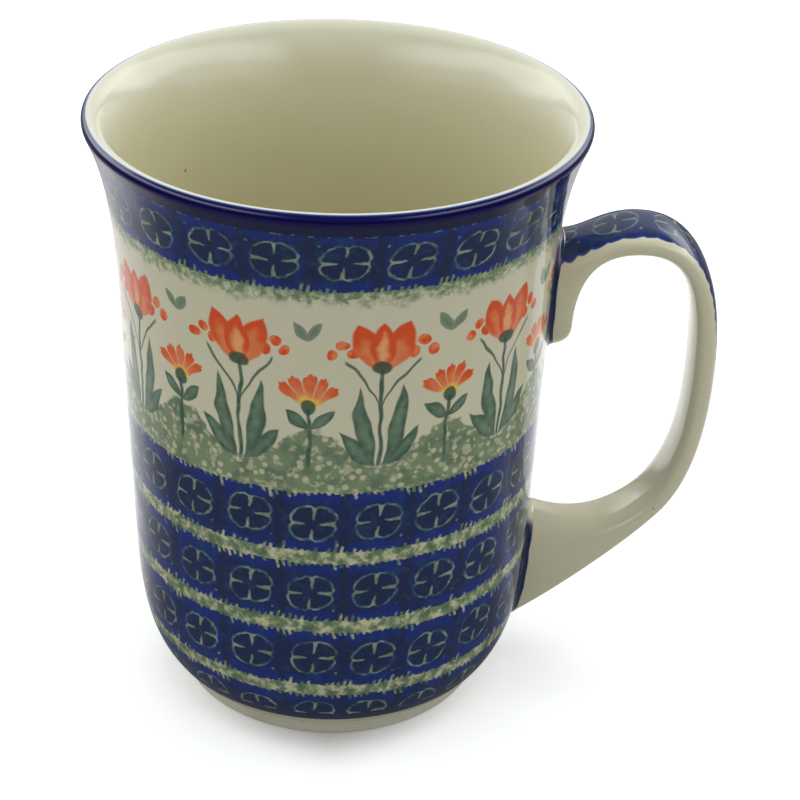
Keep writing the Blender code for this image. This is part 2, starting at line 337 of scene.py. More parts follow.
@dataclass(frozen=True)
class CupOutline:
    """The turned clay's outline, with the same sizes as the solid cup."""

    height: float = 0.1280
    rim_radius: float = 0.04935
    lip_thickness: float = 0.0025
    lip_crown: float = 0.0014
    neck: Point = (0.0434, 0.0900)
    belly: Point = (0.0413, 0.0300)
    wall_thickness: float = 0.0042
    floor_thickness: float = 0.0065
    floor_flat: float = 0.0160
    foot_radius: float = 0.0323
    foot_height: float = 0.0036
    foot_step: float = 0.0003
    foot_round: float = 0.0006
    foot_ring: float = 0.0055
    foot_recess: float = 0.0018
    coat_gap: float = 0.0003
    coat: float = 0.0006
    belly_leaves: Point = (0.560, 0.160)
    belly_meets: Point = (0.915, 0.375)
    wall_leaves: Point = (0.424, 0.330)
    wall_meets: Point = (0.797, 0.730)
    flare_leaves: Point = (0.066, 0.410)
    flare_meets: Point = (0.330, 0.760)
    inner_flare_meets: Point = (0.300, 0.800)
    floor_leaves: Point = (0.020, 0.600)
    floor_meets: Point = (0.500, 1.000)
    coat_end: tuple[float, ...] = (0.80, 1.57, 2.35)
    fine: int = 24
    round_steps: int = 6

    def outside(self) -> Line:
        """Outside of the clay, from the lip down to the top of the bare foot.

        Returns:
            Points as (radius, height).
        """
        foot = (self.foot_radius + self.foot_step, self.foot_height)
        lip = (self.rim_radius, self.height - self.lip_crown)
        line = curve(foot, self.belly, self.belly_leaves, self.belly_meets, self.fine)
        line += curve(self.belly, self.neck, self.wall_leaves, self.wall_meets, self.fine)[1:]
        line += curve(self.neck, lip, self.flare_leaves, self.flare_meets, self.fine)[1:]
        return line[::-1]

    def inside(self) -> Line:
        """Inside of the clay, from the middle of the floor up to the lip.

        Returns:
            Points as (radius, height).
        """
        floor_height = self.foot_recess + self.floor_thickness
        flat = (self.floor_flat, floor_height)
        belly = (self.belly[0] - self.wall_thickness, self.belly[1])
        neck = (self.neck[0] - self.wall_thickness, self.neck[1])
        lip = (self.rim_radius - self.lip_thickness, self.height - self.lip_crown)
        corner = curve(belly, flat, self.floor_leaves, self.floor_meets, self.fine)
        line = [(0.0, floor_height), (self.floor_flat / 2, floor_height)] + corner[::-1]
        line += curve(belly, neck, self.wall_leaves, self.wall_meets, self.fine)[1:]
        line += curve(neck, lip, self.flare_leaves, self.inner_flare_meets, self.fine)[1:]
        return line

    def lean(self, neck_radius: float, lip_radius: float, meets: Point) -> float:
        """Step outward of one side of the flare for each step up, where it meets the lip."""
        upward = (self.height - self.lip_crown - self.neck[1]) * (1 - meets[1])
        return (lip_radius - neck_radius) * (1 - meets[0]) / upward

    def lip(self) -> Line:
        """Rounded top of the lip, leaning with the flare, from inside to outside without its two ends.

        Returns:
            Points as (radius, height).
        """
        half = self.lip_thickness / 2
        inner_neck, inner_lip = self.neck[0] - self.wall_thickness, self.rim_radius - self.lip_thickness
        inner = self.lean(inner_neck, inner_lip, self.inner_flare_meets)
        outer = self.lean(self.neck[0], self.rim_radius, self.flare_meets)
        line = []
        for step in range(1, self.fine):
            way = step / self.fine
            angle = math.pi * (1 - way)
            rise = self.lip_crown * math.sin(angle)
            out = half * math.cos(angle) + (inner + (outer - inner) * way) * rise
            line.append((self.rim_radius - half + out, self.height - self.lip_crown + rise))
        return line

    def glazed(self) -> Line:
        """The clay under the glaze: inside, over the lip and down to the foot."""
        return self.inside() + self.lip() + self.outside()

    def foot(self) -> Line:
        """The bare foot ring with its rounded edges, and the recess under the cup.

        Returns:
            Points as (radius, height).
        """
        inner = self.foot_radius - self.foot_ring
        turn = self.foot_round
        line = [(self.foot_radius, self.foot_height - self.foot_step)]
        corners = ((self.foot_radius - turn, 0.0), (inner + turn, -math.pi / 2))
        for centre, start in corners:
            for step in range(self.round_steps + 1):
                angle = start - math.pi / 2 * step / self.round_steps
                line.append((centre + turn * math.cos(angle), turn + turn * math.sin(angle)))
        return line + [(inner, self.foot_recess), (0.0, self.foot_recess)]

    def coat_line(self) -> Line:
        """The glaze coat as a closed skin: its face, the round end at the foot and its underside.

        Returns:
            Points as (radius, height), from the middle of the floor and back to it.
        """
        clay = self.glazed()
        face = offset_line(clay, self.coat)
        under = offset_line(clay, self.coat_gap)[::-1]
        middle = ((face[-1][0] + under[0][0]) / 2, (face[-1][1] + under[0][1]) / 2)
        half = (self.coat - self.coat_gap) / 2
        end = [(middle[0] + half * math.cos(a), middle[1] - half * math.sin(a)) for a in self.coat_end]
        return face + end + under

    def coat_runs(self) -> list[float]:
        """Run of each point of the coat's skin from the top of the lip, positive outside.

        Returns:
            Runs in metres, in the order of coat_line.
        """
        line = self.coat_line()
        runs = runs_of(line)
        top = max(range(len(line)), key=lambda index: line[index][1])
        return [run - runs[top] for run in runs]

    def coat_wall(self) -> Line:
        """Outside of the glaze, from the foot up, as (radius, height)."""
        return offset_line(self.outside(), self.coat)[::-1]

    def coat_radius(self, height: float) -> float:
        """Outside radius of the glaze at a height."""
        wall = self.coat_wall()
        return float(np.interp(height, [z for _, z in wall], [r for r, _ in wall]))

    def run_at(self, height: float) -> float:
        """Run from the top of the lip down to a height on the outside.

        Args:
            height: Height above the table, in metres.

        Returns:
            The run, in millimetres.
        """
        line, runs = self.coat_line(), self.coat_runs()
        top = runs.index(0.0)
        end = len(self.glazed())
        heights = [z for _, z in line[top:end]]
        return float(np.interp(-height, [-z for z in heights], runs[top:end])) / MM


@dataclass(frozen=True)
class Palette:
    """Colours of the clay and of the paints under the glaze."""

    cream: Colour = (0.640, 0.612, 0.405)
    clay: Colour = (0.700, 0.680, 0.560)
    bare: Colour = (0.800, 0.780, 0.650)
    stain: Colour = (0.420, 0.330, 0.210)
    navy: Colour = (0.013, 0.024, 0.078)
    cobalt: Colour = (0.010, 0.028, 0.200)
    deep: Colour = (0.012, 0.014, 0.052)
    lip: Colour = (0.004, 0.003, 0.070)
    teal: Colour = (0.018, 0.062, 0.120)
    bleed: Colour = (0.060, 0.150, 0.380)
    cut: Colour = (0.095, 0.195, 0.190)
    cut_pale: Colour = (0.290, 0.370, 0.310)
    tick: Colour = (0.195, 0.262, 0.170)
    # Pale bluish white of the painted highlight inside the lip, and of the thinned cobalt there.
    fringe_and_sheen: Colour = (0.640, 0.680, 0.640)
    sponge: Colour = (0.168, 0.252, 0.132)
    sponge_dark: Colour = (0.095, 0.160, 0.095)
    leaf: Colour = (0.036, 0.096, 0.062)
    leaf_pale: Colour = (0.150, 0.240, 0.160)
    red: Colour = (0.720, 0.090, 0.020)
    orange: Colour = (0.800, 0.240, 0.090)
    peach: Colour = (0.860, 0.400, 0.170)
    yellow: Colour = (0.900, 0.640, 0.090)
    speck: Colour = (0.120, 0.080, 0.040)


@dataclass(frozen=True)
class GlazeSkin:
    """Clear fired glaze over clay: refraction, ripple and specks of iron, with scales per metre."""

    refraction: float = 1.5
    ripple_scale: float = 70.0
    ripple_share: float = 0.9
    grain_scale: float = 650.0
    grain_share: float = 0.035
    depth: float = 0.0004
    drift_scale: float = 60.0
    drift_share: float = 0.10
    speck_scale: float = 260.0
    speck_share: float = 0.75
    speck_odds: Point = (0.965, 0.975)
    speck_edge: Point = (0.13, 0.06)


PALETTE = Palette()
GLAZE = GlazeSkin()


class Finish:
    """A Principled material under construction, with the places that its patterns are read at."""

    def __init__(self, name: str) -> None:
        """Start a material with an empty tree.

        Args:
            name: Name of the material.
        """
        self.material = bpy.data.materials.new(name)
        self.material.use_nodes = True
        self.bench = Bench(self.material.node_tree)
        self.shader = self.material.node_tree.nodes["Principled BSDF"]
        self.place = self.bench.chain("ShaderNodeTexCoord", {}, "Object")

    def wrap(self, name: str) -> tuple[Wire, Wire]:
        """The two coordinates of a UV map of the piece."""
        u, v, _ = self.bench.chain("ShaderNodeUVMap", {}, uv_map=name).split()
        return u, v

    def attribute(self, name: str) -> Wire:
        """A number stored on the piece."""
        return self.bench.chain("ShaderNodeAttribute", {}, "Fac", attribute_name=name)

    def bump(self, height: Wire, distance: float, strength: float = 1.0) -> None:
        """Raise the surface by a height from 0 to 1 times a distance in metres."""
        inputs = {"Height": height, "Distance": distance, "Strength": strength}
        self.bench.feed(self.shader, {"Normal": self.bench.chain("ShaderNodeBump", inputs)})

    def gloss(self, roughness: float) -> None:
        """A clear fired glaze: smooth and hard, with a slow ripple over the clay below.

        Args:
            roughness: Roughness of the glaze.
        """
        self.bench.feed(self.shader, {"Roughness": roughness, "IOR": GLAZE.refraction})
        ripple = self.bench.noise(self.place, GLAZE.ripple_scale, 1.0)
        grain = self.bench.noise(self.place, GLAZE.grain_scale, 1.0)
        self.bump(ripple * GLAZE.ripple_share + grain * GLAZE.grain_share, GLAZE.depth)

    def cream(self, painted_light_lift: Value = 0.0) -> Wire:
        """Clear glaze over pale clay, a little uneven, with a few dark specks of iron.

        Args:
            painted_light_lift: Painted light: share by which the cream is lifted towards the clay's lighter
                colour, where more light falls.

        Returns:
            The colour.
        """
        bench = self.bench
        drift = bench.noise(self.place, GLAZE.drift_scale, 2.0)
        # Uneven glaze, lifted lighter by the painted light share.
        pale = bench.blend(drift.fade(0.30, 0.75) * GLAZE.drift_share + painted_light_lift, PALETTE.cream, PALETTE.clay)
        distance, luck = bench.cells(self.place, GLAZE.speck_scale)
        rare = luck.split()[0].fade(*GLAZE.speck_odds)
        return bench.blend(rare * distance.fade(*GLAZE.speck_edge) * GLAZE.speck_share, pale, PALETTE.speck)

    def paint(self, colour: Wire) -> bpy.types.Material:
        """Give the shader its colour and return the finished material."""
        self.bench.feed(self.shader, {"Base Color": colour})
        return self.material


@dataclass(frozen=True)
class BareClay:
    """Fired clay without glaze: matt, sandy and faintly stained."""

    name: str
    roughness: float = 0.78
    grain_scale: float = 1800.0
    grain_share: float = 0.25
    grain_depth: float = 0.00012
    grain_strength: float = 0.6
    stain_scale: float = 90.0
    stain_share: float = 0.20

    def make(self) -> bpy.types.Material:
        """Build the material.

        Returns:
            The finished material.
        """
        finish = Finish(self.name)
        bench = finish.bench
        grain = bench.noise(finish.place, self.grain_scale, 3.0)
        stain = bench.noise(finish.place, self.stain_scale, 3.0)
        colour = bench.blend(grain.fade(0.35, 0.75) * self.grain_share, PALETTE.bare, PALETTE.cream)
        colour = bench.blend(stain.fade(0.48, 0.80) * self.stain_share, colour, PALETTE.stain)
        bench.feed(finish.shader, {"Roughness": self.roughness})
        finish.bump(grain, self.grain_depth, self.grain_strength)
        return finish.paint(colour)


@dataclass(frozen=True)
class StampPlan:
    """One hand-cut stamp: a four-lobed clover in a block of cobalt, in millimetres."""

    half_width: float = 4.60
    half_height: float = 4.15
    squareness: float = 2.3
    line: float = 0.185
    notch: float = 0.085
    tick_reach: float = 0.33
    tick_tip: float = 0.14
    tick_base: float = 0.44
    tick_lean: float = 0.03
    notch_reach: float = 1.1
    tilt: float = 0.10
    skew: float = 0.12
    flaws: tuple[Point, ...] = ((3.2, 3.0), (5.1, -4.2))
    flaw_size: float = 0.42

    def clover(self, bench: Bench, x: Wire, y: Wire) -> tuple[Wire, Wire, Wire]:
        """Masks of the clover round a stamp's middle.

        Args:
            bench: The material's node tree.
            x: Distance to the right of the stamp's middle.
            y: Distance above the stamp's middle.

        Returns:
            Masks of the thin outline, of the four wedge-shaped ticks and of the inside.
        """
        x, y = turned(x, y, self.tilt)
        y = y - x * self.skew
        far = (abs(x) / self.half_width).power(self.squareness)
        high = (abs(y) / self.half_height).power(self.squareness)
        reach = (far + high).power(1.0 / self.squareness)
        to_axis = abs(x).least(abs(y))
        rim = reach + to_axis.fade(self.notch_reach, 0.0) * self.notch - 1.0
        outline = (abs(rim) * self.half_width).fade(self.line * 2.4, self.line * 0.2)
        for left, up in self.flaws:
            outline = outline.most(bench.length(x - left, y - up).fade(self.flaw_size, self.flaw_size * 0.5))
        start = self.tick_reach - (x + y) * self.tick_lean
        widening = (self.tick_base - self.tick_tip) / (1.0 - self.tick_reach)
        width = (reach - start) * widening + self.tick_tip
        tick = (to_axis - width).fade(0.20, -0.16) * (reach - start).fade(-0.08, 0.06)
        return outline, tick * rim.fade(0.02, -0.02), rim.fade(0.03, -0.03)


@dataclass(frozen=True)
class ClayPaint:
    """Paints that share a finish: dabbed cobalt, sponged green, and pale lines left by the stamps."""

    finish: Finish
    coarse_dabs: Point = (300.0, 0.55)
    fine_dabs: Point = (1100.0, 0.45)
    wash_scale: float = 480.0
    wash_share: float = 0.55
    sponge_scale: float = 520.0
    pore_scale: float = 1352.0
    patch_scale: float = 420.0

    def cobalt(self, thin: Value = 0.0) -> Wire:
        """Dabbed cobalt, navy where it is thick and clear blue where it is thin.

        Args:
            thin: How much thinner than usual the paint lies; thicker below 0.

        Returns:
            The colour.
        """
        bench, place = self.finish.bench, self.finish.place
        coarse, fine = (bench.noise(place, scale, 2.0) * share
                        for scale, share in (self.coarse_dabs, self.fine_dabs))
        blue = bench.blend((coarse + fine + thin).fade(0.39, 0.69), PALETTE.navy, PALETTE.cobalt)
        wash = bench.noise(place, self.wash_scale, 3.0)
        return bench.blend(wash.fade(0.50, 0.72) * self.wash_share, blue, PALETTE.teal)

    def sponge(self) -> Wire:
        """Green dabbed on with a sponge, so that the cream shows through in places.

        Returns:
            The colour.
        """
        bench, place = self.finish.bench, self.finish.place
        dabs = bench.noise(place, self.sponge_scale, 3.0)
        pores = bench.noise(place, self.pore_scale, 2.0)
        green = bench.blend(dabs.fade(0.48, 0.70), PALETTE.sponge, PALETTE.sponge_dark)
        bare = (dabs * 0.75 + pores * 0.25).fade(0.55, 0.37)
        return bench.blend(bare * 0.85, green, PALETTE.cream)

    def cut_lines(self, under: Wire, outline: Wire, ticks: Wire) -> Wire:
        """Thin pale lines in the cobalt, brighter in some places and broken in others.

        Args:
            under: Colour of the layers below.
            outline: Mask of the clovers' outlines.
            ticks: Mask of the clovers' ticks.

        Returns:
            The colour with this layer on it.
        """
        bench = self.finish.bench
        patch = bench.noise(self.finish.place, self.patch_scale, 2.0)
        tone = bench.blend(patch.fade(0.52, 0.68), PALETTE.cut, PALETTE.cut_pale)
        colour = bench.blend(outline * (patch.fade(0.32, 0.56) * 0.70 + 0.15), under, tone)
        wedge = bench.blend(patch.fade(0.48, 0.66), PALETTE.tick, PALETTE.cut_pale)
        return bench.blend(ticks * 0.95, colour, wedge)


@dataclass(frozen=True)
class WallBands:
    """The painted bands on the outside: heights in metres, paint in millimetres, phases in degrees."""

    cobalt_edge: float = 0.1114
    sponge_edge: float = 0.1083
    rows_top: float = 0.0676
    first_row: float = 0.0598
    third_row: float = 0.0260
    top_row: float = 0.1178
    rows_end: float = 0.0094
    line_end: float = 0.0069
    split: float = 0.0950
    stamped_top: float = 0.1240
    lip_start: float = 0.30
    top_stamps: int = 23
    row_stamps: int = 21
    top_phase: float = 1.7
    row_phase: float = 11.6
    block_half_height: float = 7.0
    edge_scale: float = 330.0
    edge_sway: float = 5.0
    edge_grain: float = 760.0
    bubble_scale: float = 480.0
    bubble_radius: float = 0.33
    tooth_pitch: float = 1.30
    tooth_half_width: float = 0.28
    tooth_length: float = 1.9
    tooth_slant: float = 0.25
    tooth_odds: Point = (0.16, 0.22)
    tooth_key: float = 23.0
    row_key: float = 40.0
    top_key: float = 400.0
    drift_scale: float = 260.0
    fray_scale: float = 1000.0
    dash_scale: float = 700.0
    block_sway: float = 1.1
    block_fray: float = 1.0
    stamp_stray: Point = (1.0, 0.9)
    line_sway: float = 1.2
    line_fray: Point = (0.35, 0.45)
    # Shares of the painted highlight band inside the lip and of the thinned cobalt at its edge.
    fringe_and_sheen: Point = (0.41, 0.40)


@dataclass(frozen=True)
class BrushStroke:
    """A pointed stroke of the brush beside a stem, in millimetres and radians."""

    lift: float
    lean: float
    middle: float
    half_length: float
    half_width: float
    bow: float = 0.0
    shift: float = 0.0

    def shape(self, side: Wire, up: Wire) -> Wire:
        """The stroke on both sides of the stem, as a number that is 1 at its edge."""
        x, y = turned(side, up - self.lift, self.lean)
        return lens(x + y * y * self.bow - self.shift, y - self.middle, self.half_length, self.half_width)


@dataclass(frozen=True)
class FriezePlan:
    """The painted frieze on the cream field, in millimetres up from the stamped rows."""

    units: int = 10
    phase: float = 0.18
    tulip_base: float = 26.5
    fan_base: float = 18.2
    fan_reach: float = 7.4
    fan_spread: float = 2.2
    fan_petals: int = 5
    hill: float = 9.0
    hill_swing: float = 4.2
    hill_drift: Point = (520.0, 3.2)
    hill_tone: float = 300.0
    hill_thin: float = 640.0
    dot_scale: float = 450.0
    dot_scatter: float = 0.7
    hand_scale: float = 160.0
    hand_sway: tuple[float, float, float] = (2.2, 2.2, 2.4)
    wash_scale: float = 420.0
    stem: float = 0.42
    sprig: float = 0.40
    long_leaf: BrushStroke = BrushStroke(5.0, 0.40, 9.0, 9.2, 1.75, 0.012, 0.9)
    short_leaf: BrushStroke = BrushStroke(5.5, 0.98, 5.4, 5.4, 1.70, 0.020, 0.6)
    small_leaf: BrushStroke = BrushStroke(13.4, 0.85, 3.3, 3.3, 1.25)
    leaf_pair: BrushStroke = BrushStroke(33.0, 0.62, 2.3, 2.5, 1.10)
    outer_petal: BrushStroke = BrushStroke(0.2, 0.36, 5.2, 5.6, 2.75)
    inner_petal: BrushStroke = BrushStroke(0.0, 0.0, 4.7, 5.2, 2.55)
    petal_gap: float = 1.3
    twig_reach: float = 0.27
    twig_bend: float = 0.6
    twig_rise: float = 12.0
    twig_start: float = 16.5
    twig_half_width: float = 0.34
    berry_height: float = 31.0
    berry_edge: Point = (1.28, 1.08)
    berries: tuple[Point, ...] = ((0.0, 1.1), (2.0, -0.9), (-1.9, -1.0))


@dataclass(frozen=True)
class StampCell:
    """Where a point of the wall lies in the stamp nearest to it, in millimetres.

    The mask upper is 1 in the band under the lip and 0 below it, and key is the stamp's own number.
    """

    upper: Wire
    x: Wire
    y: Wire
    key: Wire


@dataclass(frozen=True)
class PaintedGlaze:
    """The cup's coat: cobalt stamps, green sponge and a painted frieze under a clear glaze."""

    outline: CupOutline
    bands: WallBands = WallBands()
    frieze: FriezePlan = FriezePlan()
    stamp: StampPlan = StampPlan()
    roughness: float = 0.07
    # Painted light: share by which the outside cream is laid lighter than the inside, where more light falls.
    outside_painted_light: float = 0.35

    def make(self) -> bpy.types.Material:
        """Build the material, one layer of paint over another.

        Returns:
            The finished material.
        """
        finish = Finish("painted_glaze")
        paint = ClayPaint(finish)
        turns, run = finish.wrap("wrap")
        run = run / MM
        # Painted light: from just outside the lip on, the cream is laid lighter than inside.
        colour = finish.cream(run.fade(1.0, 3.0) * self.outside_painted_light)
        colour = self.sponge_edge(finish, colour, run)
        colour = self.painted_field(finish, colour, turns, run)
        colour = self.stamped_bands(finish, paint, colour, turns, run)
        finish.gloss(self.roughness)
        return finish.paint(colour)

    def sponge_edge(self, finish: Finish, colour: Wire, run: Wire) -> Wire:
        """Green sponge below the upper cobalt band, with the small rings that bubbles leave.

        Args:
            finish: The coat's material.
            colour: Colour of the layers below.
            run: Run down from the lip, in millimetres.

        Returns:
            The colour with this layer on it.
        """
        bench, bands = finish.bench, self.bands
        end = self.outline.run_at(bands.sponge_edge)
        drift = bench.noise(finish.place, bands.edge_scale, 2.0)
        reach = run - end + (drift - 0.5) * bands.edge_sway
        distance, _ = bench.cells(finish.place, bands.bubble_scale)
        ring = abs(distance - bands.bubble_radius).fade(0.13, 0.02)
        body = bench.noise(finish.place, bands.edge_grain, 3.0).fade(0.34, 0.64) * 0.8
        body = body + reach.fade(0.0, -2.5) * 0.25 + reach.fade(-2.0, -4.0) * 0.5
        share = reach.fade(0.8, -1.2) * body.most(ring * 0.65)
        in_band = run.fade(end - 9.0, end - 7.0) * run.fade(end + 6.0, end + 4.0)
        return bench.blend(share * in_band, colour, PALETTE.sponge)

    def painted_field(self, finish: Finish, colour: Wire, turns: Wire, run: Wire) -> Wire:
        """Tulips and fan-shaped blooms on leafy stems that grow from sponged green hills.

        Args:
            finish: The coat's material.
            colour: Colour of the layers below.
            turns: Turns round the cup from its back.
            run: Run down from the lip, in millimetres.

        Returns:
            The colour with this layer on it.
        """
        bench, plan = finish.bench, self.frieze
        base = self.outline.run_at(self.bands.rows_top)
        width = FULL_TURN * self.outline.coat_radius(self.bands.split) / MM / plan.units
        noises = bench.noise(finish.place, plan.hand_scale, 1.0, colour=True).split()
        hand = [(noise - 0.5) * sway for noise, sway in zip(noises, plan.hand_sway)]
        cell = turns * plan.units + plan.phase
        across = (cell.call("FRACT") - 0.5) * width + hand[0]
        beside = ((cell + 0.5).call("FRACT") - 0.5) * width + hand[1]
        up = base - run + hand[2]
        wash = bench.noise(finish.place, plan.wash_scale, 3.0)
        colour = self.hills(finish, colour, beside, up, width)
        colour = self.leaves(bench, colour, across, beside, up, wash)
        colour = self.berries(bench, colour, abs(across), up, width, wash)
        colour = self.tulip(bench, colour, across, up, wash)
        return self.fan_bloom(bench, colour, beside, up, wash)

    def hills(self, finish: Finish, colour: Wire, beside: Wire, up: Wire, width: float) -> Wire:
        """Low hills of green sponge with round pale dots.

        Args:
            finish: The coat's material.
            colour: Colour of the layers below.
            beside: Distance to the right of the nearest fan bloom.
            up: Height above the top of the stamped rows.
            width: Width of one unit of the frieze.

        Returns:
            The colour with this layer on it.
        """
        bench, plan = finish.bench, self.frieze
        swing = (beside * (FULL_TURN / width)).call("COSINE") * plan.hill_swing
        drift = (bench.noise(finish.place, plan.hill_drift[0], 2.0) - 0.5) * plan.hill_drift[1]
        ground = (up - swing + drift).fade(plan.hill + 0.4, plan.hill - 0.4) * up.fade(-3.5, -2.5)
        tone = bench.noise(finish.place, plan.hill_tone, 3.0)
        green = bench.blend(tone.fade(0.42, 0.66), PALETTE.sponge, PALETTE.sponge_dark)
        distance, _ = bench.cells(finish.place, plan.dot_scale, plan.dot_scatter)
        thin = bench.noise(finish.place, plan.hill_thin, 2.0).fade(0.46, 0.34) * 0.55
        green = bench.blend(thin.most(distance.fade(0.38, 0.20) * 0.75), green, PALETTE.cream)
        return bench.blend(ground * 0.92, colour, green)

    def leaves(self, bench: Bench, colour: Wire, across: Wire, beside: Wire, up: Wire, wash: Wire) -> Wire:
        """Stems, long pointed leaves and small leaf pairs, in two washes of green.

        Args:
            bench: The material's nodes.
            colour: Colour of the layers below.
            across: Distance to the right of the nearest tulip.
            beside: Distance to the right of the nearest fan bloom.
            up: Height above the top of the stamped rows.
            wash: Noise of the water in the paint.

        Returns:
            The colour with this layer on it.
        """
        plan = self.frieze
        side, near = abs(across), abs(beside)
        stem = (side - plan.stem).fade(0.18, -0.18) * (up - plan.tulip_base).fade(0.6, 0.0)
        sprig = (near - plan.sprig).fade(0.18, -0.18) * (up - plan.fan_base).fade(0.6, 0.0)
        strokes = plan.long_leaf.shape(side, up).least(plan.short_leaf.shape(side, up))
        blades, core = brushed(strokes.least(plan.small_leaf.shape(near, up)))
        mask = stem.most(blades).most(sprig) * up.fade(3.5, 6.0)
        green = bench.blend(wash.fade(0.36, 0.66) * 0.5 + core * 0.5, PALETTE.leaf, PALETTE.leaf_pale)
        colour = bench.blend(mask * 0.95, colour, green)
        pair, pair_core = brushed(plan.leaf_pair.shape(near, up))
        dab = bench.blend(pair_core * 0.5, PALETTE.leaf_pale, PALETTE.leaf)
        return bench.blend(pair * 0.85, colour, dab)

    def berries(self, bench: Bench, colour: Wire, side: Wire, up: Wire, width: float, wash: Wire) -> Wire:
        """Twigs that bow out from the tulip's stem and end in three berries.

        Args:
            bench: The material's nodes.
            colour: Colour of the layers below.
            side: Distance to either side of the nearest tulip.
            up: Height above the top of the stamped rows.
            width: Width of one unit of the frieze.
            wash: Noise of the water in the paint.

        Returns:
            The colour with this layer on it.
        """
        plan = self.frieze
        middle = width * plan.twig_reach
        bow = (side / middle).power(plan.twig_bend) * plan.twig_rise + plan.twig_start
        twig = (abs(up - bow) - plan.twig_half_width).fade(0.30, -0.10) * side.fade(middle, middle - 0.6)
        colour = bench.blend(twig * 0.85, colour, PALETTE.leaf)
        rounds = [bench.length(side - (middle + x), up - (plan.berry_height + y)) for x, y in plan.berries]
        nearest = rounds[0].least(rounds[1]).least(rounds[2])
        tone = bench.blend(wash.fade(0.40, 0.62), PALETTE.red, PALETTE.orange)
        return bench.blend(nearest.fade(*plan.berry_edge), colour, tone)

    def tulip(self, bench: Bench, colour: Wire, across: Wire, up: Wire, wash: Wire) -> Wire:
        """A bloom of three pointed petals on a small green cup.

        Args:
            bench: The material's nodes.
            colour: Colour of the layers below.
            across: Distance to the right of the nearest tulip.
            up: Height above the top of the stamped rows.
            wash: Noise of the water in the paint.

        Returns:
            The colour with this layer on it.
        """
        plan = self.frieze
        rise = up - plan.tulip_base
        outer, outer_core = brushed(plan.outer_petal.shape(abs(across) - plan.petal_gap, rise))
        inner, inner_core = brushed(plan.inner_petal.shape(across, rise))
        deep = (wash * 0.9 + rise / 11.0 - outer_core * 0.35).fade(0.35, 1.05)
        petal = bench.blend(deep, PALETTE.orange, PALETTE.red)
        colour = bench.blend(outer, colour, petal)
        edge = (wash * 0.9 + rise / 20.0 - inner_core * 0.55).fade(0.05, 0.65)
        colour = bench.blend(inner, colour, bench.blend(edge, PALETTE.peach, PALETTE.red))
        calyx = bench.length(across / 2.1, (rise - 0.3) / 1.5).fade(1.15, 0.85)
        return bench.blend(calyx * 0.92, colour, PALETTE.leaf)

    def fan_bloom(self, bench: Bench, colour: Wire, beside: Wire, up: Wire, wash: Wire) -> Wire:
        """A fan of notched petals above a small green cup.

        Args:
            bench: The material's nodes.
            colour: Colour of the layers below.
            beside: Distance to the right of the nearest fan bloom.
            up: Height above the top of the stamped rows.
            wash: Noise of the water in the paint.

        Returns:
            The colour with this layer on it.
        """
        plan = self.frieze
        rise = up - plan.fan_base
        reach = bench.length(beside, rise)
        turn = bench.math("ARCTAN2", beside, rise)
        petal = turn * (plan.fan_petals / plan.fan_spread)
        off = petal - petal.call("ROUND")
        tooth = abs(off * 3.0 - (off * 3.0).call("ROUND"))
        edge = (1.0 - off * off * 0.75) * plan.fan_reach - tooth * 0.9
        open_half = plan.fan_spread / 2
        mask = (reach - edge).fade(0.22, -0.22) * abs(turn).fade(open_half + 0.05, open_half - 0.05)
        deep = (wash * 0.8 + reach / plan.fan_reach * 0.7).fade(0.62, 1.15)
        tone = bench.blend(deep, PALETTE.orange, PALETTE.red)
        gap = (abs(off) + wash * 0.1).fade(0.43, 0.52) * reach.fade(1.5, 3.0)
        tone = bench.blend(gap * 0.55, tone, PALETTE.cream)
        tone = bench.blend((reach + wash * 1.5).fade(4.1, 2.3), tone, PALETTE.yellow)
        colour = bench.blend(mask, colour, tone)
        cup = bench.length(beside / 1.5, (rise - 0.4) / 1.7).fade(1.15, 0.85)
        return bench.blend(cup * 0.92, colour, PALETTE.leaf)

    def comb(self, bench: Bench, x: Wire, depth: Wire, key: Wire) -> Wire:
        """Short slanted teeth of bare ground in a block's torn edge, most of them near its corners.

        Args:
            bench: The material's node tree.
            x: Distance to the right of the block's middle.
            depth: Distance into the block from its nearest long edge.
            key: Number that sets one edge apart from another.

        Returns:
            1 in the teeth, 0 elsewhere.
        """
        bands = self.bands
        lane = (x - depth * bands.tooth_slant) / bands.tooth_pitch
        luck = bench.chance(lane.call("FLOOR") + key * bands.tooth_key).split()
        weight = abs(x).fade(2.6, 4.8) * 0.55 + 0.45
        length = luck[0] * luck[1].fade(*bands.tooth_odds) * weight * bands.tooth_length
        from_middle = abs(lane.call("FRACT") - 0.5) * bands.tooth_pitch
        tooth = (from_middle - bands.tooth_half_width).fade(0.22, -0.14)
        return tooth * (depth - length).fade(0.30, -0.20) * 0.85

    def nearest_stamp(self, turns: Wire, run: Wire) -> StampCell:
        """Find the stamp nearest to a point of the wall, under the lip or in one of the rows.

        Args:
            turns: Turns round the cup from its back.
            run: Run down from the lip, in millimetres.

        Returns:
            The place of the point in that stamp.
        """
        bands, outline = self.bands, self.outline
        split = outline.run_at(bands.split)
        upper = run.fade(split + 0.5, split - 0.5)
        first = outline.run_at(bands.first_row)
        pitch = (outline.run_at(bands.third_row) - first) / 2
        row = ((run - first) / pitch).call("ROUND").most(0.0)
        y = (row * pitch + first) * (1.0 - upper) + upper * outline.run_at(bands.top_row) - run
        count = upper * float(bands.top_stamps - bands.row_stamps) + float(bands.row_stamps)
        phase = (180.0 + bands.row_phase) / 360.0 + upper * ((bands.top_phase - bands.row_phase) / 360.0)
        cell = (turns - phase) * count
        number = cell.call("ROUND")
        key = number + row * bands.row_key + upper * bands.top_key
        radii = [outline.coat_radius(height) / MM for height in (bands.first_row, bands.top_row)]
        x = (cell - number) / count * ((upper * (radii[1] - radii[0]) + radii[0]) * FULL_TURN)
        return StampCell(upper, x, y, key)

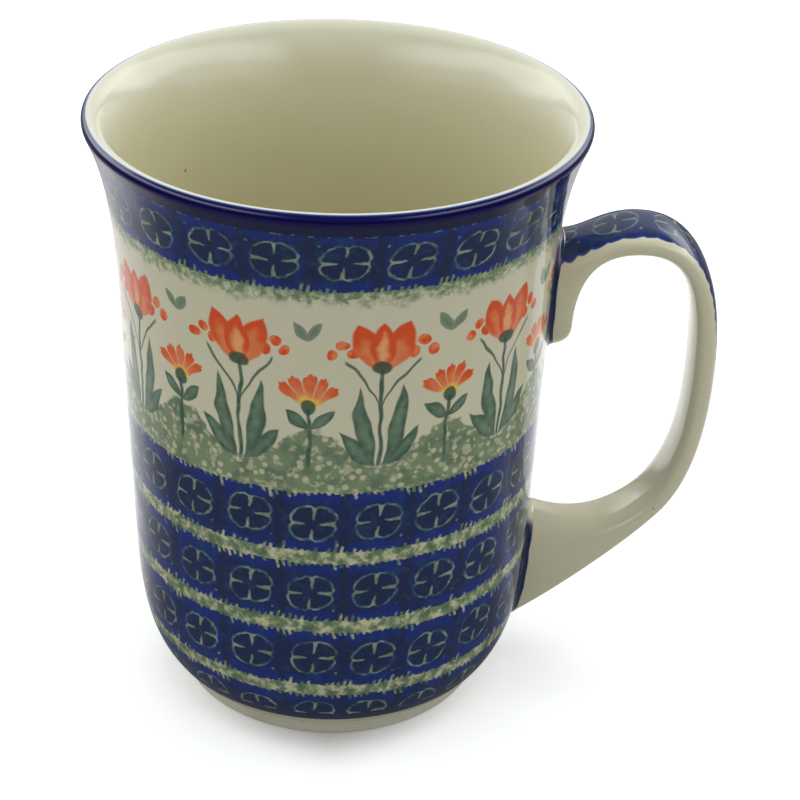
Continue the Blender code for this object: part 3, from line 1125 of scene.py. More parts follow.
    def in_rows(self, run: Wire) -> Wire:
        """1 in the rows of stamps below the frieze, 0 elsewhere."""
        start, end = (self.outline.run_at(height) for height in (self.bands.rows_top, self.bands.rows_end))
        return run.fade(start - 1.6, start - 1.4) * run.fade(end + 0.1, end - 0.1)

    def blocks(self, bench: Bench, cell: StampCell, run: Wire, drift: Wire, frayed: Wire) -> Wire:
        """Cobalt blocks with torn edges, round the lip and in the rows.

        Args:
            bench: The material's nodes.
            cell: Place in the nearest stamp.
            run: Run down from the lip, in millimetres.
            drift: Noise that moves the edges slowly.
            frayed: Noise that frays them.

        Returns:
            1 in the blocks, 0 elsewhere.
        """
        bands = self.bands
        depth = cell.upper * (self.outline.run_at(bands.cobalt_edge) - run)
        depth = depth + (1.0 - cell.upper) * (bands.block_half_height - abs(cell.y))
        depth = depth + (drift - 0.5) * bands.block_sway + (frayed - 0.5) * bands.block_fray
        teeth = self.comb(bench, cell.x, depth, cell.key + cell.y.call("SIGN") * 0.5)
        lip = run.fade(bands.lip_start - 0.22, bands.lip_start + 0.22)
        return depth.fade(-0.12, 0.12) * (1.0 - teeth) * (cell.upper * lip).most(self.in_rows(run))

    def lip_edge(self, bench: Bench, colour: Wire, run: Wire, block: Wire) -> Wire:
        """The pale blue that the cobalt bleeds into the glaze along the top of the lip.

        Args:
            bench: The material's nodes.
            colour: Colour of the layers below.
            run: Run down from the lip, in millimetres.
            block: Mask of the cobalt blocks.

        Returns:
            The colour with this layer on it.
        """
        start = self.bands.lip_start
        bleed = run.fade(start + 0.45, start + 0.05) * block
        return bench.blend(bleed * 0.7, colour, PALETTE.bleed)

    def inner_fringe_and_sheen(self, bench: Bench, colour: Wire, run: Wire) -> Wire:
        """A painted highlight: a pale, faintly blue sheen over the top of the inside wall, and the faint blue
        where the cobalt thins at the lip's inner edge.

        Args:
            bench: The material's nodes.
            colour: Colour of the layers below.
            run: Run down from the lip, in millimetres.

        Returns:
            The colour with this layer on it.
        """
        start, shares = self.bands.lip_start, self.bands.fringe_and_sheen
        # Painted highlight over the upper inside wall, plus the thinned cobalt near the lip.
        share = run.fade(-16.0, -2.0) * shares[0] + run.fade(start - 1.2, start - 0.4) * shares[1]
        return bench.blend(share * run.fade(2.0, 1.0), colour, PALETTE.fringe_and_sheen)

    def stamped_bands(self, finish: Finish, paint: ClayPaint, colour: Wire, turns: Wire, run: Wire) -> Wire:
        """Cobalt round the lip and in rows of stamps, with sponged green between the rows.

        Args:
            finish: The coat's material.
            paint: Paints on that material.
            colour: Colour of the layers below.
            turns: Turns round the cup from its back.
            run: Run down from the lip, in millimetres.

        Returns:
            The colour with this layer on it.
        """
        bench, bands, outline = finish.bench, self.bands, self.outline
        cell = self.nearest_stamp(turns, run)
        drift = bench.noise(finish.place, bands.drift_scale, 2.0, colour=True).split()
        frayed = bench.noise(finish.place, bands.fray_scale, 1.0)
        rows_start, rows_end = outline.run_at(bands.rows_top), outline.run_at(bands.rows_end)
        ground = self.in_rows(run) * run.fade(rows_start, rows_start + 1.0)
        colour = bench.blend(ground, colour, paint.sponge())
        # Painted highlight inside the lip, with the thinned cobalt at its edge.
        colour = self.inner_fringe_and_sheen(bench, colour, run)
        block = self.blocks(bench, cell, run, drift[1], frayed)
        jitter = bench.chance(cell.key).split()
        way_up = 1.0 - cell.upper * 2.0
        x = (cell.x + (jitter[1] - 0.5) * bands.stamp_stray[0]) * way_up
        x = x + (drift[2] - 0.5) * bands.line_sway + (frayed - 0.5) * bands.line_fray[0]
        y = (cell.y + (jitter[2] - 0.5) * bands.stamp_stray[1]) * way_up
        y = y + (drift[0] - 0.5) * bands.line_sway + (0.5 - frayed) * bands.line_fray[1]
        line, ticks, inside = self.stamp.clover(bench, x, y)
        thin = abs(cell.y).fade(4.0, 5.4) * 0.15 - abs(cell.x).fade(5.2, 6.3) * 0.24 - inside * 0.11
        blue = paint.cobalt(thin + (jitter[0] - 0.5) * 0.08)
        stamped_top = outline.run_at(bands.stamped_top)
        plain_lip = run.fade(stamped_top + 0.2, stamped_top - 0.2)
        deepest = run.fade(bands.lip_start + 3.4, bands.lip_start + 2.2)
        blue = bench.blend(plain_lip, blue, bench.blend(deepest, PALETTE.deep, PALETTE.lip))
        colour = bench.blend(block, colour, blue)
        line_end = outline.run_at(bands.line_end)
        foot_line = run.fade(rows_end - 1.6, rows_end - 0.8) * run.fade(line_end + 0.12, line_end - 0.12)
        colour = bench.blend(foot_line, colour, PALETTE.navy)
        colour = paint.cut_lines(colour, line * block, ticks * block)
        colour = self.lip_edge(bench, colour, run, block)
        broken = bench.noise(finish.place, bands.dash_scale, 1.0).fade(0.55, 0.60)
        dashes = abs(run - stamped_top + (drift[0] - 0.5) * 0.8).fade(0.34, 0.08) * broken
        return bench.blend(dashes * cell.upper * 0.75, colour, PALETTE.cut)


@dataclass(frozen=True)
class StrapGlaze:
    """The handle's coat: cream, with a stamped cobalt strip along the outer face, in millimetres."""

    strip_half_width: float = 7.6
    strip_taper: float = 2.4
    taper_runs: Point = (50.0, 95.0)
    root_spread: float = 3.0
    root_fade: float = 9.0
    scallop: float = 3.3
    scallop_depth: float = 0.45
    stamp_pitch: float = 12.6
    stamp_phase: float = 0.35
    drift_scale: float = 300.0
    edge_sway: float = 0.8
    edge_retreat: float = 2.4
    line_sway: float = 1.2
    # Painted light: the handle's cream is laid lighter than the cup's inside, where more light falls.
    pale: float = 0.30
    stamp: StampPlan = StampPlan()
    roughness: float = 0.07

    def make(self) -> bpy.types.Material:
        """Build the material.

        Returns:
            The finished material.
        """
        finish = Finish("handle_glaze")
        bench, paint = finish.bench, ClayPaint(finish)
        run, across = finish.wrap("strap")
        run, across = run / MM, across / MM
        facing = finish.attribute("facing")
        drift = bench.noise(finish.place, self.drift_scale, 2.0, colour=True).split()
        spread = bench.math("EXPONENT", run * (-1.0 / self.root_fade)) * self.root_spread
        wide = spread + self.strip_half_width - run.fade(*self.taper_runs) * self.strip_taper
        dabs = abs((run * (math.pi / self.scallop) + drift[1] * 2.0).call("SINE")) * self.scallop_depth
        depth = wide + dabs - self.scallop_depth - abs(across)
        depth = depth - (1.0 - facing) * self.edge_retreat + (drift[0] - 0.5) * self.edge_sway
        strip = depth.fade(-0.12, 0.12) * facing.fade(-0.55, -0.35)
        cell = run / self.stamp_pitch + self.stamp_phase
        x = (cell.call("FRACT") - 0.5) * self.stamp_pitch + (drift[1] - 0.5) * self.line_sway
        line, ticks, inside = self.stamp.clover(bench, x, across + (drift[2] - 0.5) * self.line_sway)
        blue = paint.cobalt(depth.fade(1.1, 0.3) * 0.22 - inside * 0.08 - 0.04)
        colour = bench.blend(strip, finish.cream(self.pale), blue)
        pale_edge = strip * depth.fade(0.60, 0.05) * 0.45
        colour = bench.blend(pale_edge, colour, PALETTE.bleed)
        shown = strip * facing.fade(0.1, 0.4) * 0.8
        colour = paint.cut_lines(colour, line * shown, ticks * shown)
        finish.gloss(self.roughness)
        return finish.paint(colour)


@dataclass(frozen=True)
class SeamGlaze:
    """Glaze in the corner between handle and wall, with a cobalt line painted down both sides."""

    name: str
    top_cobalt: bool
    roughness: float = 0.07
    drift_scale: float = 160.0
    line_sway: float = 0.25
    # Painted light: the seam's cream is laid lighter than the cup's inside, where more light falls.
    pale: float = 0.30
    thin: float = -0.2

    def make(self) -> bpy.types.Material:
        """Build the material.

        Returns:
            The finished material.
        """
        finish = Finish(self.name)
        bench, paint = finish.bench, ClayPaint(finish)
        _, spread = finish.wrap("seam")
        facing = finish.attribute("facing")
        drift = bench.noise(finish.place, self.drift_scale, 1.0, colour=True).split()
        sway = [(part - 0.5) * self.line_sway for part in drift[:2]]
        side = facing.fade(-0.93, -0.80)
        if not self.top_cobalt:
            side = side * facing.fade(0.96, 0.86)
        line = (spread + sway[0]).fade(0.05, 0.15) * (spread + sway[1]).fade(0.98, 0.88)
        colour = bench.blend(side * line, finish.cream(self.pale), paint.cobalt(self.thin))
        finish.gloss(self.roughness)
        return finish.paint(colour)


@dataclass(frozen=True)
class BaseGlaze:
    """The thin clear glaze in the recess under the cup."""

    roughness: float = 0.12

    def make(self) -> bpy.types.Material:
        """Build the material.

        Returns:
            The finished material.
        """
        finish = Finish("base_glaze")
        colour = finish.cream()
        finish.gloss(self.roughness)
        return finish.paint(colour)


class NodeForm:
    """A geometry node tree that shapes a line of points, with named inputs, into one mesh."""

    def __init__(self, name: str, inputs: dict[str, str]) -> None:
        """Start a tree with a geometry input, the named inputs and a material.

        Args:
            name: Name of the tree.
            inputs: Socket type of each named input.
        """
        self.tree = bpy.data.node_groups.new(name, "GeometryNodeTree")
        self.bench = Bench(self.tree)
        face = self.tree.interface
        face.new_socket("Geometry", in_out="INPUT", socket_type="NodeSocketGeometry")
        kinds = {**inputs, "Material": "NodeSocketMaterial"}
        self.sockets = {
            label: face.new_socket(label, in_out="INPUT", socket_type=kind).identifier
            for label, kind in kinds.items()
        }
        face.new_socket("Geometry", in_out="OUTPUT", socket_type="NodeSocketGeometry")
        self.source = self.bench.node("NodeGroupInput")
        self.line = Wire(self.bench, self.source.outputs["Geometry"])
        points = {"Geometry": self.line}
        self.count = self.bench.chain("GeometryNodeAttributeDomainSize", points, "Point Count")

    def given(self, label: str) -> Wire:
        """The value of a named input."""
        return Wire(self.bench, self.source.outputs[label])

    def grid(self, columns: Value, rows: Value) -> tuple[Wire, Wire, Wire]:
        """A flat grid to be bent into the piece.

        Args:
            columns: Points along the grid's x.
            rows: Points along the grid's y.

        Returns:
            The grid, and each point's share from 0 to 1 along x and along y.
        """
        inputs = {"Size X": 1.0, "Size Y": 1.0, "Vertices X": columns, "Vertices Y": rows}
        mesh = self.bench.chain("GeometryNodeMeshGrid", inputs, "Mesh")
        x, y, _ = self.bench.chain("GeometryNodeInputPosition", {}).split()
        return mesh, x + 0.5, y + 0.5

    def sampled(self, label: str, index: Wire, vector: bool = True) -> Wire:
        """An attribute of the line's points, read by the point's number.

        Args:
            label: Name of the attribute.
            index: Number of the point.
            vector: Whether the attribute is a vector.

        Returns:
            The value at that point.
        """
        kind = "FLOAT_VECTOR" if vector else "FLOAT"
        named = {"Name": label}
        value = self.bench.chain("GeometryNodeInputNamedAttribute", named, "Attribute", data_type=kind)
        inputs = {"Geometry": self.line, "Value": value, "Index": index}
        return self.bench.chain("GeometryNodeSampleIndex", inputs, "Value", data_type=kind)

    def keep(self, mesh: Wire, label: str, value: Wire, as_uv: bool = False) -> Wire:
        """Store a value on the mesh, as a UV map or as a number at each point.

        Args:
            mesh: The grid that becomes the piece.
            label: Name to store the value under.
            value: Value at each point.
            as_uv: Whether it becomes a UV map.

        Returns:
            The grid with the value on it.
        """
        kind, domain = ("FLOAT2", "CORNER") if as_uv else ("FLOAT", "POINT")
        inputs = {"Geometry": mesh, "Name": label, "Value": value}
        return self.bench.chain("GeometryNodeStoreNamedAttribute", inputs, data_type=kind, domain=domain)

    def close(self, mesh: Wire, position: Wire) -> None:
        """Put the grid in place, merge its edges and end the tree.

        Args:
            mesh: The grid that becomes the piece.
            position: Place of each of its points.
        """
        bench = self.bench
        mesh = bench.chain("GeometryNodeSetPosition", {"Geometry": mesh, "Position": position})
        mesh = bench.chain("GeometryNodeMergeByDistance", {"Geometry": mesh, "Distance": MERGE})
        mesh = bench.chain("GeometryNodeSetShadeSmooth", {"Geometry": mesh})
        mesh = bench.chain("GeometryNodeRealizeInstances", {"Geometry": mesh})
        mesh = bench.chain("GeometryNodeSetMaterial", {"Geometry": mesh, "Material": self.given("Material")})
        bench.feed(bench.node("NodeGroupOutput"), {"Geometry": mesh})

    def make(self, name: str, columns: dict[str, np.ndarray], inputs: dict[str, object]) -> bpy.types.Object:
        """Run the tree on a line of points and keep the result as a plain mesh.

        Args:
            name: Name of the finished piece.
            columns: Attribute values of the line's points, numbers or vectors.
            inputs: Values of the named inputs.

        Returns:
            An object at the origin with the finished mesh.
        """
        count = len(next(iter(columns.values())))
        source = bpy.data.meshes.new(name + "_line")
        source.from_pydata([(0.0, 0.0, 0.0)] * count, [(i, i + 1) for i in range(count - 1)], [])
        for label, values in columns.items():
            data = np.asarray(values, dtype=np.float32)
            kind = "FLOAT_VECTOR" if data.ndim == 2 else "FLOAT"
            slot = source.attributes.new(label, kind, "POINT")
            slot.data.foreach_set("vector" if data.ndim == 2 else "value", data.ravel())
        worker = bpy.data.objects.new(name + "_worker", source)
        bpy.context.scene.collection.objects.link(worker)
        modifier = worker.modifiers.new("form", "NODES")
        modifier.node_group = self.tree
        for label, value in inputs.items():
            modifier[self.sockets[label]] = value
        return plain(worker, name)


def clean(mesh: bpy.types.Mesh) -> None:
    """Merge what lies together in a closed mesh and turn its faces outwards.

    Args:
        mesh: Mesh that is mended in place.
    """
    work = bmesh.new()
    work.from_mesh(mesh)
    bmesh.ops.triangulate(work, faces=[face for face in work.faces if len(face.verts) > 4])
    bmesh.ops.remove_doubles(work, verts=work.verts, dist=MERGE)
    if work.calc_volume(signed=True) < 0.0:
        bmesh.ops.reverse_faces(work, faces=work.faces, flip_multires=False)
    work.to_mesh(mesh)
    work.free()


def plain(worker: bpy.types.Object, name: str) -> bpy.types.Object:
    """Turn an object with modifiers into a new object with a plain mesh, and remove the old one.

    Args:
        worker: Object with modifiers.
        name: Name of the new object and of its mesh.

    Returns:
        The new object.
    """
    bpy.context.view_layer.update()
    graph = bpy.context.evaluated_depsgraph_get()
    mesh = bpy.data.meshes.new_from_object(worker.evaluated_get(graph))
    mesh.name = name
    clean(mesh)
    bpy.data.objects.remove(worker, do_unlink=True)
    piece = bpy.data.objects.new(name, mesh)
    bpy.context.scene.collection.objects.link(piece)
    return piece


class TurnedForm(NodeForm):
    """Turns an outline round the cup's upright axis."""

    def __init__(self) -> None:
        """Build the tree."""
        super().__init__("turned_form", {"Turn Steps": "NodeSocketInt", "Axis X": "NodeSocketFloat"})
        bench = self.bench
        mesh, turn, along = self.grid(self.given("Turn Steps") + 1.0, self.count)
        index = (along * (self.count - 1.0)).call("ROUND")
        radius, _, height = self.sampled("corner", index).split()
        run = self.sampled("run", index, vector=False)
        mesh = self.keep(mesh, "wrap", bench.vector(turn, run, 0.0), as_uv=True)
        angle = (turn - 0.5) * FULL_TURN
        east, south = angle.call("SINE"), angle.call("COSINE") * -1.0
        self.close(mesh, bench.vector(radius * east + self.given("Axis X"), radius * south, height))

    def turn(self, name: str, line: Line, runs: Sequence[float], finish: bpy.types.Material,
             axis: float, steps: int = 192) -> bpy.types.Object:
        """Turn one outline into a piece.

        Args:
            name: Name of the piece.
            line: Outline as (radius, height), with the clay on its right.
            runs: Run of each point, kept in the UV map.
            finish: Material of the piece.
            axis: X of the cup's axis.
            steps: Facets round the axis.

        Returns:
            The finished piece.
        """
        corners = np.array([(r, 0.0, z) for r, z in line])
        inputs = {"Turn Steps": steps, "Axis X": axis, "Material": finish}
        return self.make(name, {"corner": corners, "run": np.array(runs)}, inputs)


class StrapForm(NodeForm):
    """Skins rounded sections between the inner and outer edges of the strap."""

    def __init__(self, squareness: float) -> None:
        """Build the tree.

        Args:
            squareness: Exponent of the rounded section; 2 gives an ellipse.
        """
        super().__init__("strap_form", {"Section Steps": "NodeSocketInt"})
        bench = self.bench
        mesh, along, share = self.grid(self.count, self.given("Section Steps") + 1.0)
        index = (along * (self.count - 1.0)).call("ROUND")
        angle = (share - 0.5) * FULL_TURN
        out, across = (self.rounded(angle.call(name), squareness) for name in ("COSINE", "SINE"))
        inner, outer = self.sampled("inner", index).split(), self.sampled("outer", index).split()
        wide = self.sampled("half_width", index, vector=False) * across
        x = (inner[0] + outer[0]) * 0.5 + (outer[0] - inner[0]) * 0.5 * out
        z = (inner[2] + outer[2]) * 0.5 + (outer[2] - inner[2]) * 0.5 * out
        run = self.sampled("run", index, vector=False)
        mesh = self.keep(mesh, "strap", bench.vector(run, wide, 0.0), as_uv=True)
        mesh = self.keep(mesh, "facing", out)
        self.close(mesh, bench.vector(x, wide, z))

    @staticmethod
    def rounded(part: Wire, squareness: float) -> Wire:
        """A sine or cosine drawn out towards a rounded rectangle."""
        return abs(part).power(2.0 / squareness) * part.call("SIGN")


class FilletForm(NodeForm):
    """Sweeps a hollow corner of glaze along the seam between handle and wall."""

    def __init__(self) -> None:
        """Build the tree: the visible hollow first, then its underside."""
        super().__init__("fillet_form", {"Corner Steps": "NodeSocketInt"})
        bench = self.bench
        mesh, along, share = self.grid(self.count, self.given("Corner Steps") * 2.0 + 1.0)
        index = (along * (self.count - 1.0)).call("ROUND")
        spread = share * 2.0
        back = spread.call("FLOOR").least(1.0)
        t = abs(back * 2.0 - spread)
        corner, deep = self.sampled("corner", index), self.sampled("deep", index)
        middle = bench.blend(back, corner, deep).split()
        first, last = (self.sampled(label, index).split() for label in ("wall_side", "strap_side"))
        weights = ((1.0 - t) * (1.0 - t), t * (1.0 - t) * 2.0, t * t)
        parts = [first[i] * weights[0] + middle[i] * weights[1] + last[i] * weights[2] for i in range(3)]
        run = self.sampled("run", index, vector=False)
        mesh = self.keep(mesh, "seam", bench.vector(run, t, 0.0), as_uv=True)
        mesh = self.keep(mesh, "facing", self.sampled("facing", index, vector=False))
        self.close(mesh, bench.vector(*parts))


@dataclass
class Cup:
    """The turned cup: bare clay, the painted coat over it and the glazed disc underneath."""

    outline: CupOutline
    form: TurnedForm
    axis: float
    base_margin: float = 0.0010
    coat_facets: int = 240
    base_facets: int = 96
    edge_points: int = 7

    def clay(self) -> bpy.types.Object:
        """The clay, which shows only at the foot.

        Returns:
            The finished piece.
        """
        line = self.outline.glazed() + self.outline.foot()
        finish = BareClay("bare_stoneware").make()
        piece = self.form.turn("clay_cup", line, runs_of(line), finish, self.axis)
        return dressed(piece, "cup_body")

    def coat(self) -> bpy.types.Object:
        """The painted glaze from the floor inside, over the lip, down to the foot.

        Returns:
            The finished piece.
        """
        line, runs = self.outline.coat_line(), self.outline.coat_runs()
        finish = PaintedGlaze(self.outline).make()
        piece = self.form.turn("painted_coat", line, runs, finish, self.axis, self.coat_facets)
        return dressed(piece, "cup_glaze")

    def base(self) -> bpy.types.Object:
        """The glazed disc in the recess, with a soft edge.

        Returns:
            The finished piece.
        """
        outline = self.outline
        radius = outline.foot_radius - outline.foot_ring - self.base_margin
        top = outline.foot_recess - outline.coat_gap
        bottom = outline.foot_recess - outline.coat
        half = (top - bottom) / 2
        edge = [(radius - half + half * math.sin(a), bottom + half + half * math.cos(a))
                for a in np.linspace(0.0, math.pi, self.edge_points)]
        line = [(0.0, top), (radius / 2, top)] + edge + [(radius / 2, bottom), (0.0, bottom)]
        finish = BaseGlaze().make()
        piece = self.form.turn("base_disc", line, runs_of(line), finish, self.axis, self.base_facets)
        return dressed(piece, "base_glaze")


@dataclass
class Handle:
    """The strap handle's coat and the glaze in the corners where it meets the wall."""

    outline: CupOutline
    turned_form: TurnedForm
    axis: float
    top: float = 0.1052
    reach: float = 0.0350
    crown_reach: float = 0.0176
    grip_height: float = 0.0740
    crown_thickness: float = 0.0049
    thickness: float = 0.0044
    arm: Point = (0.0244, 0.0403)
    arm_slope: float = math.radians(49.0)
    arm_lead: float = 0.0105
    upper_root_top: float = 0.1018
    upper_root_standoff: float = 0.0020
    tongue_end: float = 0.0786
    tongue_thickness: float = 0.0053
    tongue_round: float = 0.0046
    lower_root_top: float = 0.0393
    lower_root_bottom: float = 0.0078
    lower_root_lift: float = 0.0055
    lift_start: float = 0.65
    root_bury: float = 0.0025
    widths: tuple[float, ...] = (0.0160, 0.0160, 0.0148, 0.0138, 0.0128, 0.0144)
    squareness: float = 2.5
    steps: int = 22
    section_steps: int = 64
    fillet: float = 0.0014
    fillet_depth: float = 0.0003
    fillet_bite: float = 0.00002
    fillet_steps: int = 8
    seam_points: int = 160
    seam_probe: float = 0.02
    seam_halvings: int = 40
    facing_power: float = 0.8
    outer_shares: Shares = (
        ((0.30, 0.30), (0.70, 0.70)), ((0.33, 0.10), (0.57, 1.00)), ((0.70, 0.00), (1.00, 0.36)))
    inner_shares: Shares = (
        ((0.75, 0.00), (1.00, 0.25)), ((0.00, 0.59), (0.20, 1.00)), ((0.76, 0.00), (1.00, 0.30)))
    grip_leaves: Point = (0.00, 0.37)
    outer_meets: Point = (0.66, 0.79)

    def __post_init__(self) -> None:
        """Work out the strap's two edges."""
        self.outer, self.inner = self.edges()

    def clay_radius(self, height: float) -> float:
        """Outside radius of the clay at a height."""
        wall = self.outline.outside()[::-1]
        return float(np.interp(height, [z for _, z in wall], [r for r, _ in wall]))

    def root_point(self, height: float) -> Point:
        """Where an edge of the strap ends, a little way into the wall."""
        return (self.clay_radius(height) - self.root_bury, height)

    def edges(self) -> tuple[list[list[Point]], list[list[Point]]]:
        """Cubic runs of the outer and inner edges, from the upper root to the lower one.

        Returns:
            Four corners of each run of the outer edge, then of the inner one.
        """
        neck = self.outline.neck[0]
        crown, far = neck + self.crown_reach, neck + self.reach
        arm = (neck + self.arm[0], self.arm[1])
        heading = Vector((-math.cos(self.arm_slope), -math.sin(self.arm_slope)))
        square = Vector((math.sin(self.arm_slope), -math.cos(self.arm_slope))) * self.thickness / 2
        outer = [
            self.root_point(self.upper_root_top),
            (self.clay_radius(self.upper_root_top) + self.upper_root_standoff, self.upper_root_top),
            (crown, self.top),
            (far, self.grip_height),
            tuple(Vector(arm) + square),
            self.root_point(self.lower_root_bottom),
        ]
        inner = [
            self.root_point(self.tongue_end),
            (self.clay_radius(self.tongue_end) + self.tongue_thickness, self.tongue_end + self.tongue_round),
            (crown, self.top - self.crown_thickness),
            (far - self.thickness, self.grip_height),
            tuple(Vector(arm) - square),
            self.root_point(self.lower_root_top),
        ]
        outer_last = share_point(outer[4], outer[5], self.outer_meets)
        lift = share_point(inner[4], inner[5], (self.lift_start, 1.0))[0]
        inner_last = (lift, self.lower_root_top - self.lower_root_lift)
        return (self.edge_runs(outer, self.outer_shares, outer_last, heading),
                self.edge_runs(inner, self.inner_shares, inner_last, heading))

    def edge_runs(self, knots: list[Point], shares: Shares, last: Point,
                  heading: Vector) -> list[list[Point]]:
        """One edge as cubic runs through its knots.

        Args:
            knots: Points that the edge passes through.
            shares: Curve handles of the first three runs, as shares of the way between knots.
            last: The last curve handle, before the lower root.
            heading: Direction of the strap at its lower arm.

        Returns:
            Four corners of each cubic run.
        """
        before = tuple(Vector(knots[4]) - heading * self.arm_lead)
        after = tuple(Vector(knots[4]) + heading * self.arm_lead)
        handles = [[share_point(a, b, part) for part in pair] for a, b, pair in zip(knots, knots[1:], shares)]
        handles.append([share_point(knots[3], knots[4], self.grip_leaves), before])
        handles.append([after, last])
        return [[a, *pair, b] for a, pair, b in zip(knots, handles, knots[1:])]

    def station(self, way: float) -> tuple[np.ndarray, np.ndarray, float]:
        """Inner point, outer point and half width of the glazed strap at a place along it.

        Args:
            way: Runs passed since the upper root, from 0 to 5.

        Returns:
            The two points as (radius, height) and the half width, with the coat included.
        """
        run = min(int(way), len(self.outer) - 1)
        inner = np.array(bezier_point(self.inner[run], way - run))
        outer = np.array(bezier_point(self.outer[run], way - run))
        grown = (outer - inner) / np.linalg.norm(outer - inner) * self.outline.coat
        width = self.widths[run] + (self.widths[run + 1] - self.widths[run]) * (way - run)
        return inner - grown, outer + grown, width / 2 + self.outline.coat

    def surface(self, way: float, angle: float) -> Vector:
        """A point of the strap's coat, with the cup's axis at the origin.

        Args:
            way: Runs passed since the upper root, from 0 to 5.
            angle: Turn round the section from its outer face, in radians.

        Returns:
            The point, in metres.
        """
        inner, outer, half_width = self.station(way)
        exponent = 2.0 / self.squareness
        parts = (math.cos(angle), math.sin(angle))
        out, across = (math.copysign(abs(part) ** exponent, part) for part in parts)
        middle = (inner + outer) / 2 + (outer - inner) / 2 * out
        return Vector((middle[0], half_width * across, middle[1]))

    def clearance(self, point: Vector) -> float:
        """Distance of a point from the wall's coat, negative inside it."""
        return math.hypot(point.x, point.y) - self.outline.coat_radius(point.z)

    def coat(self) -> bpy.types.Object:
        """The glaze round the strap, cut off where it meets the wall.

        Returns:
            The finished piece.
        """
        count = len(self.outer)
        stations = [self.station(way) for way in np.linspace(0.0, count, count * self.steps + 1)]
        for end in (0, -1):
            inner, outer, _ = stations[end]
            closed = ((inner + outer) / 2, (inner + outer) / 2, 0.0)
            stations.insert(0 if end == 0 else len(stations), closed)
        inner, outer = (np.array([(s[i][0] + self.axis, 0.0, s[i][1]) for s in stations]) for i in (0, 1))
        columns = {
            "inner": inner, "outer": outer,
            "run": np.array(runs_of([(p[0], p[2]) for p in outer])),
            "half_width": np.array([s[2] for s in stations])}
        inputs = {"Section Steps": self.section_steps, "Material": StrapGlaze().make()}
        sleeve = StrapForm(self.squareness).make("handle_sleeve", columns, inputs)
        wall = self.outline.coat_wall()[::-1]
        line = [(0.0, wall[0][1])] + wall + [(0.0, wall[-1][1])]
        plug = self.turned_form.turn("wall_plug", line, runs_of(line), BareClay("plug").make(), self.axis)
        cut = sleeve.modifiers.new("meet the wall", "BOOLEAN")
        cut.operation = "DIFFERENCE"
        cut.solver = "EXACT"
        cut.object = plug
        piece = plain(sleeve, "handle_coat")
        bpy.data.objects.remove(plug, do_unlink=True)
        return dressed(piece, "handle_glaze")

    def seam_way(self, root: Root, angle: float) -> float:
        """Place along the strap where its surface crosses the wall.

        Args:
            root: Which root it is at.
            angle: Turn round the section from its outer face, in radians.

        Returns:
            Runs passed since the upper root.
        """
        low, high = root.value
        rising = self.clearance(self.surface(high, angle)) > self.clearance(self.surface(low, angle))
        for _ in range(self.seam_halvings):
            middle = (low + high) / 2
            outside = self.clearance(self.surface(middle, angle)) > 0.0
            low, high = (low, middle) if outside == rising else (middle, high)
        return (low + high) / 2

    def seam(self, root: Root, form: FilletForm, name: str, node: str) -> bpy.types.Object:
        """The hollow corner of glaze round one root.

        Args:
            root: Which root it goes round.
            form: The tree that sweeps the corner.
            name: Name of the piece.
            node: Solid that the piece stands for.

        Returns:
            The finished piece.
        """
        angles = np.linspace(-math.pi, math.pi, self.seam_points + 1)
        ways = [self.seam_way(root, angle) for angle in angles]
        points = [self.surface(way, angle) for way, angle in zip(ways, angles)]
        centre = sum(points[:-1], Vector()) / self.seam_points
        away = self.seam_probe if root is Root.UPPER else -self.seam_probe
        columns: dict[str, list] = {label: [] for label in ("corner", "deep", "wall_side", "strap_side")}
        for index, point in enumerate(points):
            before, after = points[index - 1 if index else -2], points[(index + 1) % self.seam_points]
            tangent = (after - before).normalized()
            normal = Vector((point.x, point.y, 0.0)).normalized()
            on_wall = normal.cross(tangent).normalized()
            if on_wall.dot(point - centre) < 0.0:
                on_wall.negate()
            on_strap = self.surface(ways[index] + away, angles[index]) - point
            on_strap = (on_strap - tangent * on_strap.dot(tangent)).normalized()
            wall_side = point + on_wall * self.fillet
            wall_side -= normal * (self.clearance(wall_side) + self.fillet_bite)
            columns["corner"].append(point)
            columns["deep"].append(point - (on_wall + on_strap).normalized() * self.fillet_depth)
            columns["wall_side"].append(wall_side)
            columns["strap_side"].append(point + on_strap * self.fillet)
        data = {label: np.array(values) + (self.axis, 0.0, 0.0) for label, values in columns.items()}
        data["run"] = np.linspace(0.0, 1.0, self.seam_points + 1)
        data["facing"] = np.copysign(np.abs(np.cos(angles)) ** self.facing_power, np.cos(angles))
        finish = SeamGlaze(name + "_glaze", root is Root.UPPER).make()
        piece = form.make(name, data, {"Corner Steps": self.fillet_steps, "Material": finish})
        return dressed(piece, node)


def dressed(piece: bpy.types.Object, node: str) -> bpy.types.Object:
    """Let a piece ride on the mug and stand for a solid.

    Args:
        piece: The finished piece.
        node: Solid that it stands for.

    Returns:
        The same piece.
    """
    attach(piece, BODY)
    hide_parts(node)
    return piece


